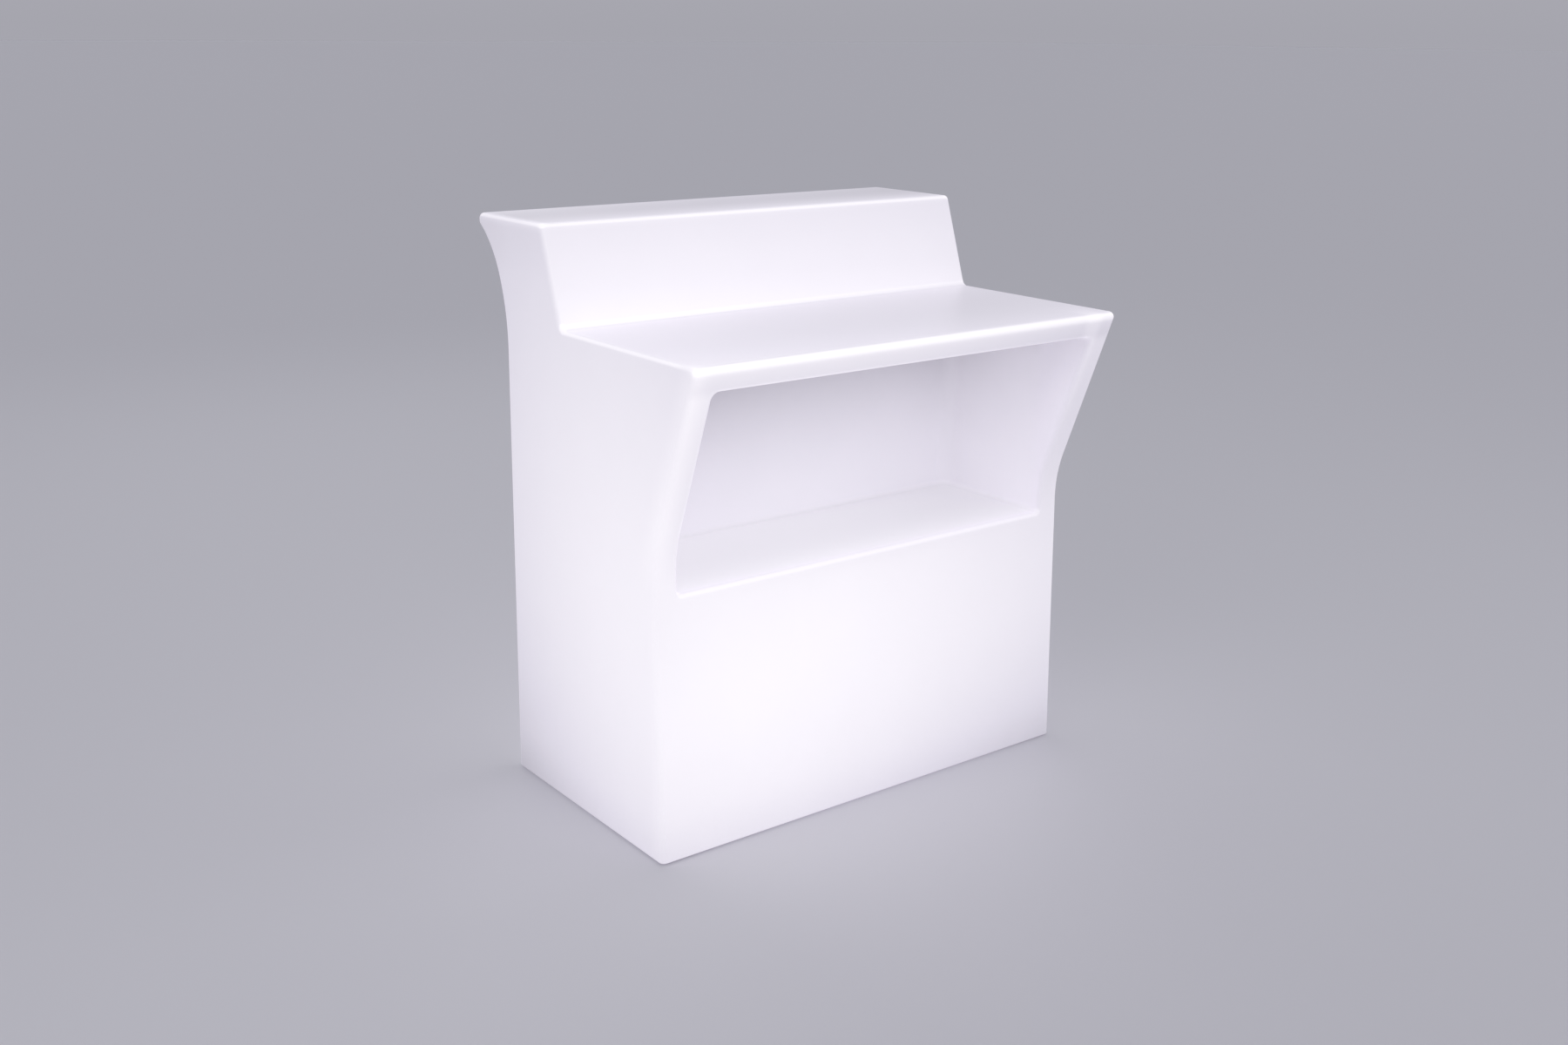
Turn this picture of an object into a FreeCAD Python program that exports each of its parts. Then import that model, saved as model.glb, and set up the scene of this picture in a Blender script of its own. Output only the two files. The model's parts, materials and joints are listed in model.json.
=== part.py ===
import FreeCAD, Part
import math
import os
import re
import Sketcher

# Illuminated bar counter, in millimetres, +Z up, +X along the counter, +Y towards the guests.
# The origin is on the floor, under the middle of the overall box.
# One hollow moulded shell stands on four levelling feet, and a rechargeable lamp on its base cover
# lights it from inside.

# Driving sizes, one group for each piece: (name, size, what it is).
SIZES = (
    # The moulded shell: overall box and side outline
    ("counter_length", 977, "overall length, end face to end face"),
    ("counter_height", 1100, "floor to guest counter"),
    ("base_depth", 527.5, "depth of the base at floor level"),
    ("lip_overhang", 111, "worktop lip beyond the foot of the staff face"),
    ("guest_overhang", 76.5, "guest nose beyond the foot of the guest face"),
    ("riser_height", 180.5, "worktop up to guest counter"),
    ("worktop_depth", 418.5, "worktop lip to the foot of the riser"),
    ("riser_setback", 61, "how far the riser leans back"),
    ("front_draft", 1.58, "lean of the staff face, degrees"),
    ("guest_draft", 1.19, "lean of the guest face, degrees"),
    ("rim_slope", 20.61, "slant of the niche rim from upright, degrees"),
    ("front_bend_radius", 250, "soft bend between staff face and slanted rim"),
    ("riser_foot_radius", 16, "hollow between worktop and riser"),
    ("edge_radius", 10.5, "rounding of the outer edges"),
    ("base_edge_radius", 3, "rounding of the edges at the floor"),
    ("flare_drop", 245, "start of the flare below the guest counter"),
    ("flare_lower_radius", 355, "lower curve of the flare"),
    ("flare_turn", 21.17, "lean of the flare where its two curves meet, degrees"),
    ("nose_thickness", 20.4, "upright edge at the end of the flare"),
    ("shell_wall", 6, "wall of the moulding"),
    ("ground_gap", 3, "underside of the shell above the floor"),
    # The open niche
    ("niche_end_margin", 50.5, "opening in from each end face"),
    ("niche_floor_height", 498, "floor to shelf"),
    ("worktop_thickness", 46.5, "roof of the niche below the worktop"),
    ("niche_depth", 280, "shelf, front edge to back wall"),
    ("niche_corner_radius", 30, "upright rear corners"),
    ("niche_floor_radius", 10, "rounding around the shelf"),
    ("niche_roof_radius", 12, "rounding around the roof"),
    ("niche_edge_radius", 12, "rounding of the opening's edge"),
    # Levelling feet, their lock nuts, inserts and pockets
    ("foot_inset", 75, "foot centre in from the base faces"),
    ("foot_pocket_radius", 30, "pocket in the underside"),
    ("sole_radius", 20, "rubber sole"),
    ("sole_thickness", 3, "rubber sole"),
    ("foot_flange_radius", 22, "round flange of the foot"),
    ("foot_flange_height", 5, "round flange of the foot"),
    ("foot_grip_width", 24, "hexagon grip across its flats"),
    ("foot_grip_height", 7, "hexagon grip"),
    ("stud_radius", 5, "threaded stud"),
    ("stud_embedment", 9, "stud inside the foot"),
    ("stud_overrun", 2, "stud past its insert"),
    ("stud_end_room", 1, "free room above the stud"),
    ("stud_end_side_room", 0.5, "free room around the end of the stud"),
    ("thread_clearance", 0.05, "between a thread and its mate"),
    ("locknut_width", 17, "lock nut across its flats"),
    ("locknut_height", 8, "lock nut"),
    ("foot_gap", 0.3, "foot to lock nut when wound right in"),
    ("foot_insert_radius", 8, "brass insert"),
    ("foot_insert_length", 18, "brass insert"),
    ("foot_boss_radius", 16, "moulded boss"),
    ("foot_boss_height", 26, "moulded boss above the pocket's ceiling"),
    # Base cover over the access opening
    ("recess_radius", 155, "recess in the underside"),
    ("recess_depth", 14, "recess in the underside"),
    ("access_radius", 120, "opening into the shell"),
    ("cover_radius", 152, "cover"),
    ("cover_thickness", 4, "cover"),
    ("cover_rib_height", 2, "ribs under the cover"),
    ("cover_rib_width", 3, "ribs under the cover"),
    ("cover_rib_ring_radius", 92, "outside of the round rib"),
    ("cover_rib_end_radius", 124, "outer end of the straight ribs"),
    ("gasket_thickness", 2, "flat seal"),
    ("gasket_outer_radius", 150, "flat seal"),
    ("gasket_inner_radius", 122, "flat seal"),
    ("cover_screw_circle", 136, "radius of the circle of screws"),
    ("cover_screw_radius", 2.5, "screw"),
    ("cover_screw_length", 16, "screw under its head"),
    ("cover_head_radius", 4.5, "screw head"),
    ("cover_head_height", 3, "screw head"),
    ("cover_socket_width", 3, "hexagon socket across its flats"),
    ("cover_socket_depth", 1.6, "hexagon socket"),
    ("washer_radius", 6, "washer"),
    ("washer_thickness", 1.2, "washer"),
    ("screw_clearance", 0.3, "around a screw in a through hole"),
    ("cover_insert_radius", 4, "brass insert"),
    ("cover_insert_length", 12, "brass insert"),
    ("cover_boss_radius", 9, "moulded boss"),
    ("cover_boss_height", 16, "moulded boss above the recess's ceiling"),
    # Breather plug
    ("vent_distance", 300, "plug from the middle of the counter"),
    ("vent_radius", 6, "plug"),
    ("vent_flange_radius", 9, "plug flange"),
    ("vent_flange_height", 1.5, "plug flange"),
    ("vent_bore_radius", 2, "bore of the plug"),
    ("vent_inside", 3, "plug above the wall"),
    # Housing of battery and electronics
    ("housing_radius", 100, "tub"),
    ("housing_wall", 2.5, "tub"),
    ("housing_height", 60, "tub"),
    ("housing_flange_radius", 112, "flange"),
    ("housing_flange_height", 3, "flange"),
    ("housing_seal_thickness", 1.5, "seal"),
    ("housing_screw_circle", 106.5, "radius of the circle of screws"),
    ("small_screw_radius", 2, "housing and ring screws"),
    ("small_head_radius", 3.6, "housing and ring screws"),
    ("small_head_height", 2.4, "housing and ring screws"),
    ("housing_screw_length", 8, "under the head"),
    # Battery
    ("cell_radius", 9.2, "round cell"),
    ("cell_length", 65, "round cell"),
    ("cell_gap", 0.3, "between neighbouring cells"),
    ("tray_wall", 3, "tray"),
    ("tray_end_room", 5, "tray past each end of the cells"),
    ("tray_offset", 22, "tray from the lamp's axis"),
    ("clamp_width", 26, "clamp strap"),
    ("clamp_thickness", 2, "clamp strap"),
    ("clamp_screw_spacing", 16, "between the two screws on one side"),
    ("tiny_screw_radius", 1.2, "clamp and board screws"),
    ("tiny_screw_length", 6, "clamp and board screws"),
    ("tiny_head_radius", 2.4, "clamp and board screws"),
    ("tiny_head_height", 1.6, "clamp and board screws"),
    # Control board
    ("board_length", 40, "along the counter"),
    ("board_width", 66, "across the counter"),
    ("board_thickness", 1.6, "board"),
    ("board_offset", 60, "board from the lamp's axis, along the counter"),
    ("board_shift", 5, "board from the lamp's axis, across the counter"),
    ("board_hole_inset", 4, "screws in from the board's edges"),
    ("pillar_radius", 3, "pillar"),
    ("pillar_height", 8, "pillar"),
    ("plug_length", 10, "lead connector"),
    ("plug_width", 8, "lead connector"),
    ("plug_height", 7, "lead connector"),
    ("coil_side", 12, "choke"),
    ("coil_height", 6, "choke"),
    ("capacitor_radius", 4, "capacitor"),
    ("capacitor_height", 11, "capacitor"),
    ("chip_side", 9, "control chip"),
    ("chip_height", 1.8, "control chip"),
    ("receiver_length", 8, "remote receiver"),
    ("receiver_width", 14, "remote receiver"),
    ("receiver_height", 5, "remote receiver"),
    ("battery_plug_y", 15, "connector of the battery, from the lamp's axis"),
    ("charge_plug_x", 55, "connector of the charging inlet, from the lamp's axis"),
    ("button_plug_x", 67, "connector of the button, from the lamp's axis"),
    ("lamp_plug_x", 52, "connector of the lamp, from the lamp's axis"),
    ("lamp_plug_y", -6, "connector of the lamp, from the lamp's axis"),
    ("choke_x", 70, "choke, from the lamp's axis"),
    ("choke_y", 8, "choke, from the lamp's axis"),
    ("capacitor_y", 26, "capacitor, from the lamp's axis"),
    ("chip_x", 66, "control chip, from the lamp's axis"),
    ("chip_y", -8, "control chip, from the lamp's axis"),
    ("receiver_x", 64, "receiver, from the lamp's axis"),
    ("receiver_y", 27, "receiver, from the lamp's axis"),
    # Lamp column
    ("lamp_base_thickness", 4, "plate"),
    ("lamp_hole_radius", 6, "hole for the lead"),
    ("core_width", 50, "hexagonal tube across its flats"),
    ("core_wall", 3, "hexagonal tube"),
    ("core_height", 190, "hexagonal tube"),
    ("core_cap_thickness", 2, "cap"),
    ("core_cap_spigot", 6, "cap inside the tube"),
    ("led_board_width", 14, "light board"),
    ("led_board_thickness", 1.6, "light board"),
    ("led_board_length", 176, "light board"),
    ("led_side", 5, "light chip"),
    ("led_height", 1.4, "light chip"),
    ("terminal_width", 10, "terminal bar"),
    ("terminal_height", 9, "terminal bar"),
    ("terminal_rise", 8, "terminal bar above the plate"),
    ("grommet_bore", 1.6, "radius of the lead's hole"),
    ("grommet_flange_radius", 8.5, "flange under the roof"),
    ("grommet_flange_height", 1, "flange under the roof"),
    ("diffuser_radius", 46, "frosted tube"),
    ("diffuser_wall", 2.5, "frosted tube"),
    ("diffuser_straight", 185, "straight length of the tube"),
    ("diffuser_flange_radius", 50, "flange"),
    ("diffuser_flange_height", 3, "flange"),
    ("diffuser_seal_thickness", 1, "seal"),
    ("ring_radius", 62, "clamping ring and plate"),
    ("ring_cap_height", 4, "ring above the diffuser's flange"),
    ("ring_clearance", 0.3, "around the diffuser"),
    ("ring_screw_circle", 56, "radius of the circle of screws"),
    # Charging inlet
    ("socket_x", -20, "inlet from the lamp's axis, along the counter"),
    ("socket_y", -60, "inlet from the lamp's axis, across the counter"),
    ("socket_radius", 5.5, "threaded barrel"),
    ("socket_length", 14, "barrel above the cover"),
    ("socket_flange_radius", 8, "flange"),
    ("socket_flange_height", 2, "flange"),
    ("socket_bore_radius", 3.2, "bore"),
    ("socket_bore_depth", 10, "bore"),
    ("socket_pin_radius", 0.8, "centre pin"),
    ("socket_pin_setback", 3, "centre pin behind the mouth"),
    ("panel_clearance", 0.1, "around a barrel in the cover"),
    ("socket_nut_width", 15, "nut across its flats"),
    ("socket_nut_height", 3, "nut"),
    ("cap_radius", 8, "rubber cap"),
    ("cap_thickness", 2.2, "rubber cap"),
    ("cap_gap", 0.3, "cap to inlet"),
    ("cap_plug_radius", 2.5, "plug of the cap"),
    ("cap_plug_height", 2.2, "plug of the cap"),
    ("cap_strap_reach", 16, "cap centre to the strap's hinge"),
    ("cap_strap_width", 6, "strap"),
    ("cap_hinge_radius", 1.6, "rolled end of the strap"),
    ("cap_pin_radius", 0.8, "pin in the rolled end"),
    ("cap_pin_clearance", 0.08, "rolled end around its pin"),
    ("cap_lug_width", 2.5, "lugs beside the strap"),
    # Push-button
    ("button_x", 28, "button from the lamp's axis, along the counter"),
    ("button_y", -68, "button from the lamp's axis, across the counter"),
    ("button_barrel_radius", 8, "threaded barrel"),
    ("button_barrel_length", 18, "barrel above the cover"),
    ("button_bezel_radius", 10.5, "bezel"),
    ("button_bezel_height", 2, "bezel"),
    ("button_nut_width", 20, "nut across its flats"),
    ("button_nut_height", 3, "nut"),
    ("button_radius", 5.5, "moving cap"),
    ("button_collar_radius", 6.6, "collar that keeps the cap in"),
    ("button_collar_height", 2, "collar"),
    ("button_clearance", 0.1, "around the moving cap"),
    ("button_travel", 1.8, "travel of the moving cap"),
    ("button_pressed_proud", 0.4, "moving cap proud of the bezel when it is pressed in"),
    ("spring_radius", 3.6, "middle of the spring's wire"),
    ("spring_wire_radius", 0.35, "spring's wire"),
    ("spring_pitch", 1.6, "one turn of the spring"),
    ("spring_length", 9, "room for the spring"),
    ("spring_room", 0.05, "between the spring and its seats"),
    # Status lens
    ("lens_x", 5, "lens from the lamp's axis, along the counter"),
    ("lens_y", -78, "lens from the lamp's axis, across the counter"),
    ("lens_radius", 2.5, "lens"),
    ("lens_flange_radius", 4, "lens flange"),
    ("lens_flange_height", 1, "lens flange"),
    ("lens_inside", 3, "lens above the cover"),
    # Leads
    ("lead_radius", 1.2, "insulated lead"),
    ("battery_lead_drop", 8, "battery lead, tray end above the connector"),
    ("battery_lead_run", 9, "battery lead, straight at each end"),
    ("lead_bend_share", 0.45, "share of the shorter run that a bend takes"),
)

# Places worked out from the sizes above: (name, formula).
WORKED = (
    ("half_length", "counter_length / 2"),
    ("counter_depth", "lip_overhang + base_depth + guest_overhang"),
    ("half_depth", "counter_depth / 2"),
    ("worktop_height", "counter_height - riser_height"),
    ("guest_foot_y", "half_depth - guest_overhang"),
    ("staff_foot_y", "guest_foot_y - base_depth"),
    ("base_centre_y", "(guest_foot_y + staff_foot_y) / 2"),
    ("lip_corner_y", "-half_depth - edge_radius * (tan(rim_slope) + 1 / cos(rim_slope) - 1)"),
    ("bend_height", "(lip_corner_y + tan(rim_slope) * worktop_height - staff_foot_y)"
                    " / (tan(front_draft) + tan(rim_slope))"),
    ("bend_y", "staff_foot_y + tan(front_draft) * bend_height"),
    ("staff_under_y", "staff_foot_y + tan(front_draft) * ground_gap"),
    ("guest_under_y", "guest_foot_y - tan(guest_draft) * ground_gap"),
    ("riser_foot_y", "worktop_depth - half_depth"),
    ("riser_top_y", "riser_foot_y + riser_setback"),
    ("flare_start_height", "counter_height - flare_drop"),
    ("flare_start_y", "guest_foot_y - tan(guest_draft) * flare_start_height"),
    ("flare_lower_y", "flare_start_y + flare_lower_radius * cos(guest_draft)"),
    ("flare_lower_z", "flare_start_height + flare_lower_radius * sin(guest_draft)"),
    ("flare_middle_y", "flare_lower_y - flare_lower_radius * cos(flare_turn)"),
    ("flare_middle_z", "flare_lower_z + flare_lower_radius * sin(flare_turn)"),
    ("nose_z", "counter_height - nose_thickness"),
    ("flare_rise", "nose_z - flare_middle_z"),
    ("flare_reach", "half_depth - flare_middle_y"),
    ("flare_upper_radius", "(flare_rise ^ 2 + flare_reach ^ 2)"
                           " / (2 * (flare_reach * cos(flare_turn) - flare_rise * sin(flare_turn)))"),
    ("flare_upper_y", "flare_middle_y + flare_upper_radius * cos(flare_turn)"),
    ("flare_upper_z", "flare_middle_z - flare_upper_radius * sin(flare_turn)"),
    ("nose_turn", "acos((flare_upper_y - half_depth) / flare_upper_radius) / 1 deg"),
    ("lower_mid_turn", "(flare_turn - guest_draft) / 2"),
    ("lower_mid_y", "flare_lower_y - flare_lower_radius * cos(lower_mid_turn)"),
    ("lower_mid_z", "flare_lower_z + flare_lower_radius * sin(lower_mid_turn)"),
    ("upper_mid_turn", "(flare_turn + nose_turn) / 2"),
    ("upper_mid_y", "flare_upper_y - flare_upper_radius * cos(upper_mid_turn)"),
    ("upper_mid_z", "flare_upper_z + flare_upper_radius * sin(upper_mid_turn)"),
    ("centre_x", "0"),
    ("niche_length", "counter_length - 2 * niche_end_margin"),
    ("niche_half_length", "niche_length / 2"),
    ("niche_top_height", "worktop_height - worktop_thickness"),
    ("niche_left_x", "-niche_half_length"),
    ("niche_front_y", "-counter_depth"),
    ("niche_height", "niche_top_height - niche_floor_height"),
    ("niche_back_y", "staff_foot_y + tan(front_draft) * niche_floor_height + niche_depth"),
    ("foot_x", "half_length - foot_inset"),
    ("foot_y", "base_depth / 2 - foot_inset"),
    ("foot_flange_top", "sole_thickness + foot_flange_height"),
    ("foot_top", "foot_flange_top + foot_grip_height"),
    ("locknut_under", "foot_top + foot_gap"),
    ("pocket_ceiling", "locknut_under + locknut_height"),
    ("foot_pocket_depth", "pocket_ceiling - ground_gap"),
    ("foot_bore_radius", "stud_radius + thread_clearance"),
    ("stud_under", "foot_top - stud_embedment"),
    ("stud_length", "pocket_ceiling + foot_insert_length + stud_overrun - stud_under"),
    ("stud_room_length", "foot_insert_length + stud_overrun + stud_end_room"),
    ("recess_ceiling", "ground_gap + recess_depth"),
    ("cover_top", "recess_ceiling - gasket_thickness"),
    ("cover_under", "cover_top - cover_thickness"),
    ("washer_under", "cover_under - washer_thickness"),
    ("cover_head_under", "washer_under - cover_head_height"),
    ("cover_hole_radius", "cover_screw_radius + screw_clearance"),
    ("housing_under", "cover_top + housing_seal_thickness"),
    ("housing_top", "housing_under + housing_height"),
    ("housing_roof_under", "housing_top - housing_wall"),
    ("housing_inner_radius", "housing_radius - housing_wall"),
    ("housing_head_seat", "housing_under + housing_flange_height"),
    ("housing_screw_tip", "housing_head_seat - housing_screw_length"),
    ("cell_pitch", "2 * cell_radius + cell_gap"),
    ("tray_length", "cell_length + 2 * tray_end_room"),
    ("tray_inner_width", "4 * cell_pitch + cell_gap"),
    ("tray_width", "tray_inner_width + 2 * tray_wall"),
    ("tray_floor_top", "cover_top + tray_wall"),
    ("lower_cell_z", "tray_floor_top + cell_gap + cell_radius"),
    ("clamp_under", "lower_cell_z + cell_pitch + cell_radius + cell_gap"),
    ("clamp_top", "clamp_under + clamp_thickness"),
    ("clamp_screw_tip", "clamp_top - tiny_screw_length"),
    ("tray_wall_y", "(tray_inner_width + tray_wall) / 2"),
    ("clamp_screw_x", "clamp_screw_spacing / 2"),
    ("board_under", "cover_top + pillar_height"),
    ("board_top", "board_under + board_thickness"),
    ("board_screw_tip", "board_top - tiny_screw_length"),
    ("board_hole_x", "board_length / 2 - board_hole_inset"),
    ("board_hole_y", "board_width / 2 - board_hole_inset"),
    ("battery_plug_x", "board_offset - (board_length - plug_length) / 2"),
    ("board_edge_plug_y", "board_shift - (board_width - plug_length) / 2"),
    ("lamp_plate_top", "housing_top + lamp_base_thickness"),
    ("core_inner_width", "core_width - 2 * core_wall"),
    ("core_top", "lamp_plate_top + core_height"),
    ("led_board_face", "core_width / 2 + led_board_thickness"),
    ("led_board_under", "lamp_plate_top + (core_height - led_board_length) / 2"),
    ("diffuser_under", "lamp_plate_top + diffuser_seal_thickness"),
    ("diffuser_flange_top", "diffuser_under + diffuser_flange_height"),
    ("diffuser_shoulder", "diffuser_under + diffuser_straight"),
    ("diffuser_inner_radius", "diffuser_radius - diffuser_wall"),
    ("ring_top", "diffuser_flange_top + ring_cap_height"),
    ("ring_screw_tip", "housing_roof_under"),
    ("ring_screw_length", "ring_top - ring_screw_tip"),
    ("socket_flange_under", "cover_under - socket_flange_height"),
    ("socket_hole_radius", "socket_radius + panel_clearance"),
    ("cap_top", "socket_flange_under - cap_gap"),
    ("cap_under", "cap_top - cap_thickness"),
    ("cap_hinge_z", "cap_top - cap_hinge_radius"),
    ("cap_hinge_x", "socket_x - cap_strap_reach"),
    ("cap_pin_bore", "cap_pin_radius + cap_pin_clearance"),
    ("button_bezel_under", "cover_under - button_bezel_height"),
    ("button_under", "button_bezel_under - button_travel - button_pressed_proud"),
    ("button_hole_radius", "button_barrel_radius + panel_clearance"),
    ("button_collar_under", "cover_under + button_clearance"),
    ("button_collar_top", "button_collar_under + button_collar_height"),
    ("button_room_top", "button_collar_top + spring_length"),
    ("spring_under", "button_collar_top + spring_room + spring_wire_radius"),
    ("spring_top", "button_room_top - spring_room - spring_wire_radius"),
    ("lens_hole_radius", "lens_radius + panel_clearance"),
)

# Counts
COVER_SCREWS = 8
HOUSING_SCREWS = 6
RING_SCREWS = 4
HEXAGON_SIDES = 6
LEDS_PER_BOARD = 8
CELLS_ACROSS = 4
CELL_LAYERS = 2

# Corners of the base: (name, side along X, side along Y), from the staff's left to the guests' right.
CORNERS = (
    ("front_left", -1, -1),
    ("front_right", 1, -1),
    ("rear_left", -1, 1),
    ("rear_right", 1, 1),
)

doc = FreeCAD.newDocument("illuminated_bar_counter")
sizes = doc.addObject("Spreadsheet::Sheet", "Sizes")
worked = doc.addObject("Spreadsheet::Sheet", "Worked")
SHEETS = {}
subparts = []


def full(formula):
    """The formula with each size named by its sheet."""
    return re.sub(r"[a-z][a-z_]+", lambda word: SHEETS.get(word.group(), "") + word.group(), formula)


for row, (name, size, what) in enumerate(SIZES, start=1):
    sizes.set("A%d" % row, name)
    sizes.set("B%d" % row, str(size))
    sizes.set("C%d" % row, what)
    sizes.setAlias("B%d" % row, name)
    SHEETS[name] = "Sizes."
for row, (name, formula) in enumerate(WORKED, start=1):
    worked.set("A%d" % row, name)
    worked.set("B%d" % row, "=" + full(formula).replace("Worked.", ""))
    worked.setAlias("B%d" % row, name)
    SHEETS[name] = "Worked."
doc.recompute()


def value(name):
    """A size or a worked place as a number."""
    sheet = sizes if SHEETS[name] == "Sizes." else worked
    return float(sheet.get(name))


def placed(thing, x="0", y="0", z="0"):
    """Put a piece where three formulas say."""
    thing.setExpression("Placement.Base.x", full(x))
    thing.setExpression("Placement.Base.y", full(y))
    thing.setExpression("Placement.Base.z", full(z))
    return thing


def cylinder(name, radius, height, x="0", y="base_centre_y", z="0"):
    made = doc.addObject("Part::Cylinder", name)
    made.setExpression("Radius", full(radius))
    made.setExpression("Height", full(height))
    return placed(made, x, y, z)


def sphere(name, radius, x="0", y="base_centre_y", z="0"):
    made = doc.addObject("Part::Sphere", name)
    made.setExpression("Radius", full(radius))
    return placed(made, x, y, z)


def block(name, length, width, height, x="0", y="base_centre_y", z="0"):
    """A box that is centred on x and y and stands on z."""
    made = doc.addObject("Part::Box", name)
    made.setExpression("Length", full(length))
    made.setExpression("Width", full(width))
    made.setExpression("Height", full(height))
    return placed(made, "%s - (%s) / 2" % (x, length), "%s - (%s) / 2" % (y, width), z)


def hexagon(name, width, height, x="0", y="base_centre_y", z="0"):
    """A hexagonal bar, sized across its flats."""
    made = doc.addObject("Part::Prism", name)
    made.Polygon = HEXAGON_SIDES
    made.setExpression("Circumradius", full("(%s) / 2 / cos(30)" % width))
    made.setExpression("Height", full(height))
    return placed(made, x, y, z)


def cut(name, base, *tools):
    made = doc.addObject("Part::Cut", name)
    made.Base = base
    made.Tool = tools[0] if len(tools) == 1 else group(name + "_tools", tools)
    return made


def fuse(name, *things):
    made = doc.addObject("Part::MultiFuse", name)
    made.Shapes = list(things)
    return made


def group(name, things):
    made = doc.addObject("Part::Compound", name)
    made.Links = list(things)
    return made


def tube(name, outer, inner, height, x="0", y="base_centre_y", z="0"):
    """A ring or sleeve."""
    solid = cylinder(name + "_solid", outer, height, x, y, z)
    bore = cylinder(name + "_bore", inner, height, x, y, z)
    return cut(name, solid, bore)


def around(count, circle):
    """Places evenly spaced on a circle round the lamp's axis: (number, x, y), x and y as formulas."""
    for step in range(count):
        turn = 360.0 * step / count
        yield step, "%s * cos(%g)" % (circle, turn), "base_centre_y + %s * sin(%g)" % (circle, turn)


def at_feet():
    """The four feet: (name of the corner, x, y), x and y as formulas."""
    for corner, side, end in CORNERS:
        yield corner, "%d * foot_x" % side, "base_centre_y + %d * foot_y" % end


def four_about(x, y, half_x, half_y):
    """Four places in a rectangle about a middle: (number, x, y), as formulas."""
    for number, (corner, side, end) in enumerate(CORNERS):
        yield number, "%s + %d * %s" % (x, side, half_x), "%s + %d * %s" % (y, end, half_y)


def subpart(thing, label):
    """Name a finished sub-part: its label names its file."""
    thing.Label = label
    subparts.append(thing)
    return thing


def plane(body, role):
    for feature in body.Origin.OriginFeatures:
        if feature.Role == role:
            return feature


def sketch_on(body, name, role, height="0"):
    """An empty sketch on one of the body's own planes, raised by a formula."""
    sketch = body.newObject("Sketcher::SketchObject", name)
    sketch.AttachmentSupport = (plane(body, role), [""])
    sketch.MapMode = "FlatFace"
    sketch.setExpression("AttachmentOffset.Base.z", full(height))
    return sketch


def end_at(edge, point):
    """Which end of a sketched edge, 1 or 2, lies at this point."""
    return 1 if edge.StartPoint.distanceToPoint(point) < edge.EndPoint.distanceToPoint(point) else 2


def outline(sketch, corners):
    """A closed outline. A corner is (across, up); with a radius and a point on the way it starts an arc."""
    points = [FreeCAD.Vector(value(corner[0]), value(corner[1]), 0) for corner in corners]
    following = points[1:] + points[:1]
    for corner, start, end in zip(corners, points, following):
        if len(corner) == 2:
            sketch.addGeometry(Part.LineSegment(start, end), False)
        else:
            middle = FreeCAD.Vector(value(corner[3]), value(corner[4]), 0)
            sketch.addGeometry(Part.Arc(start, middle, end), False)
    edges = list(sketch.Geometry)
    for index, corner in enumerate(corners):
        after = (index + 1) % len(corners)
        own = end_at(edges[index], points[index])
        meets = end_at(edges[after], points[after])
        sketch.addConstraint(Sketcher.Constraint("Coincident", index, 3 - own, after, meets))
        for kind, name, number in (
            ("DistanceX", corner[0], points[index].x),
            ("DistanceY", corner[1], points[index].y),
        ):
            row = sketch.addConstraint(Sketcher.Constraint(kind, -1, 1, index, own, number))
            sketch.setExpression("Constraints[%d]" % row, full(name))
        if len(corner) > 2:
            row = sketch.addConstraint(Sketcher.Constraint("Radius", index, value(corner[2])))
            sketch.setExpression("Constraints[%d]" % row, full(corner[2]))


def edges_of(feature, wanted):
    """The names of the feature's edges that pass a test."""
    return ["Edge%d" % number for number, edge in enumerate(feature.Shape.Edges, start=1) if wanted(edge)]


def rounded(body, name, feature, radius, wanted):
    """Round the edges of a body's last feature that pass a test."""
    doc.recompute()
    made = body.newObject("PartDesign::Fillet", name)
    made.Base = (feature, edges_of(feature, wanted))
    made.setExpression("Radius", full(radius))
    doc.recompute()
    return made


def close_to(number, name):
    return abs(number - value(name)) < value("thread_clearance")


def runs_along(edge, y_name, z_name):
    """Is this the edge along the whole counter at this place of the side outline?"""
    middle = edge.CenterOfMass
    return (
        close_to(edge.BoundBox.XLength, "counter_length")
        and close_to(middle.y, y_name)
        and close_to(middle.z, z_name)
    )


# Shell, outside: the side outline drawn once and run along the counter.
shell_outer = doc.addObject("PartDesign::Body", "shell_outer")
side_outline = sketch_on(shell_outer, "side_outline", "YZ_Plane")
outline(side_outline, (
    ("staff_under_y", "ground_gap"),
    ("bend_y", "bend_height"),
    ("lip_corner_y", "worktop_height"),
    ("riser_foot_y", "worktop_height"),
    ("riser_top_y", "counter_height"),
    ("half_depth", "counter_height"),
    ("half_depth", "nose_z", "flare_upper_radius", "upper_mid_y", "upper_mid_z"),
    ("flare_middle_y", "flare_middle_z", "flare_lower_radius", "lower_mid_y", "lower_mid_z"),
    ("flare_start_y", "flare_start_height"),
    ("guest_under_y", "ground_gap"),
))
body_block = shell_outer.newObject("PartDesign::Pad", "body_block")
body_block.Profile = side_outline
body_block.Midplane = True
body_block.setExpression("Length", full("counter_length"))

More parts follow.
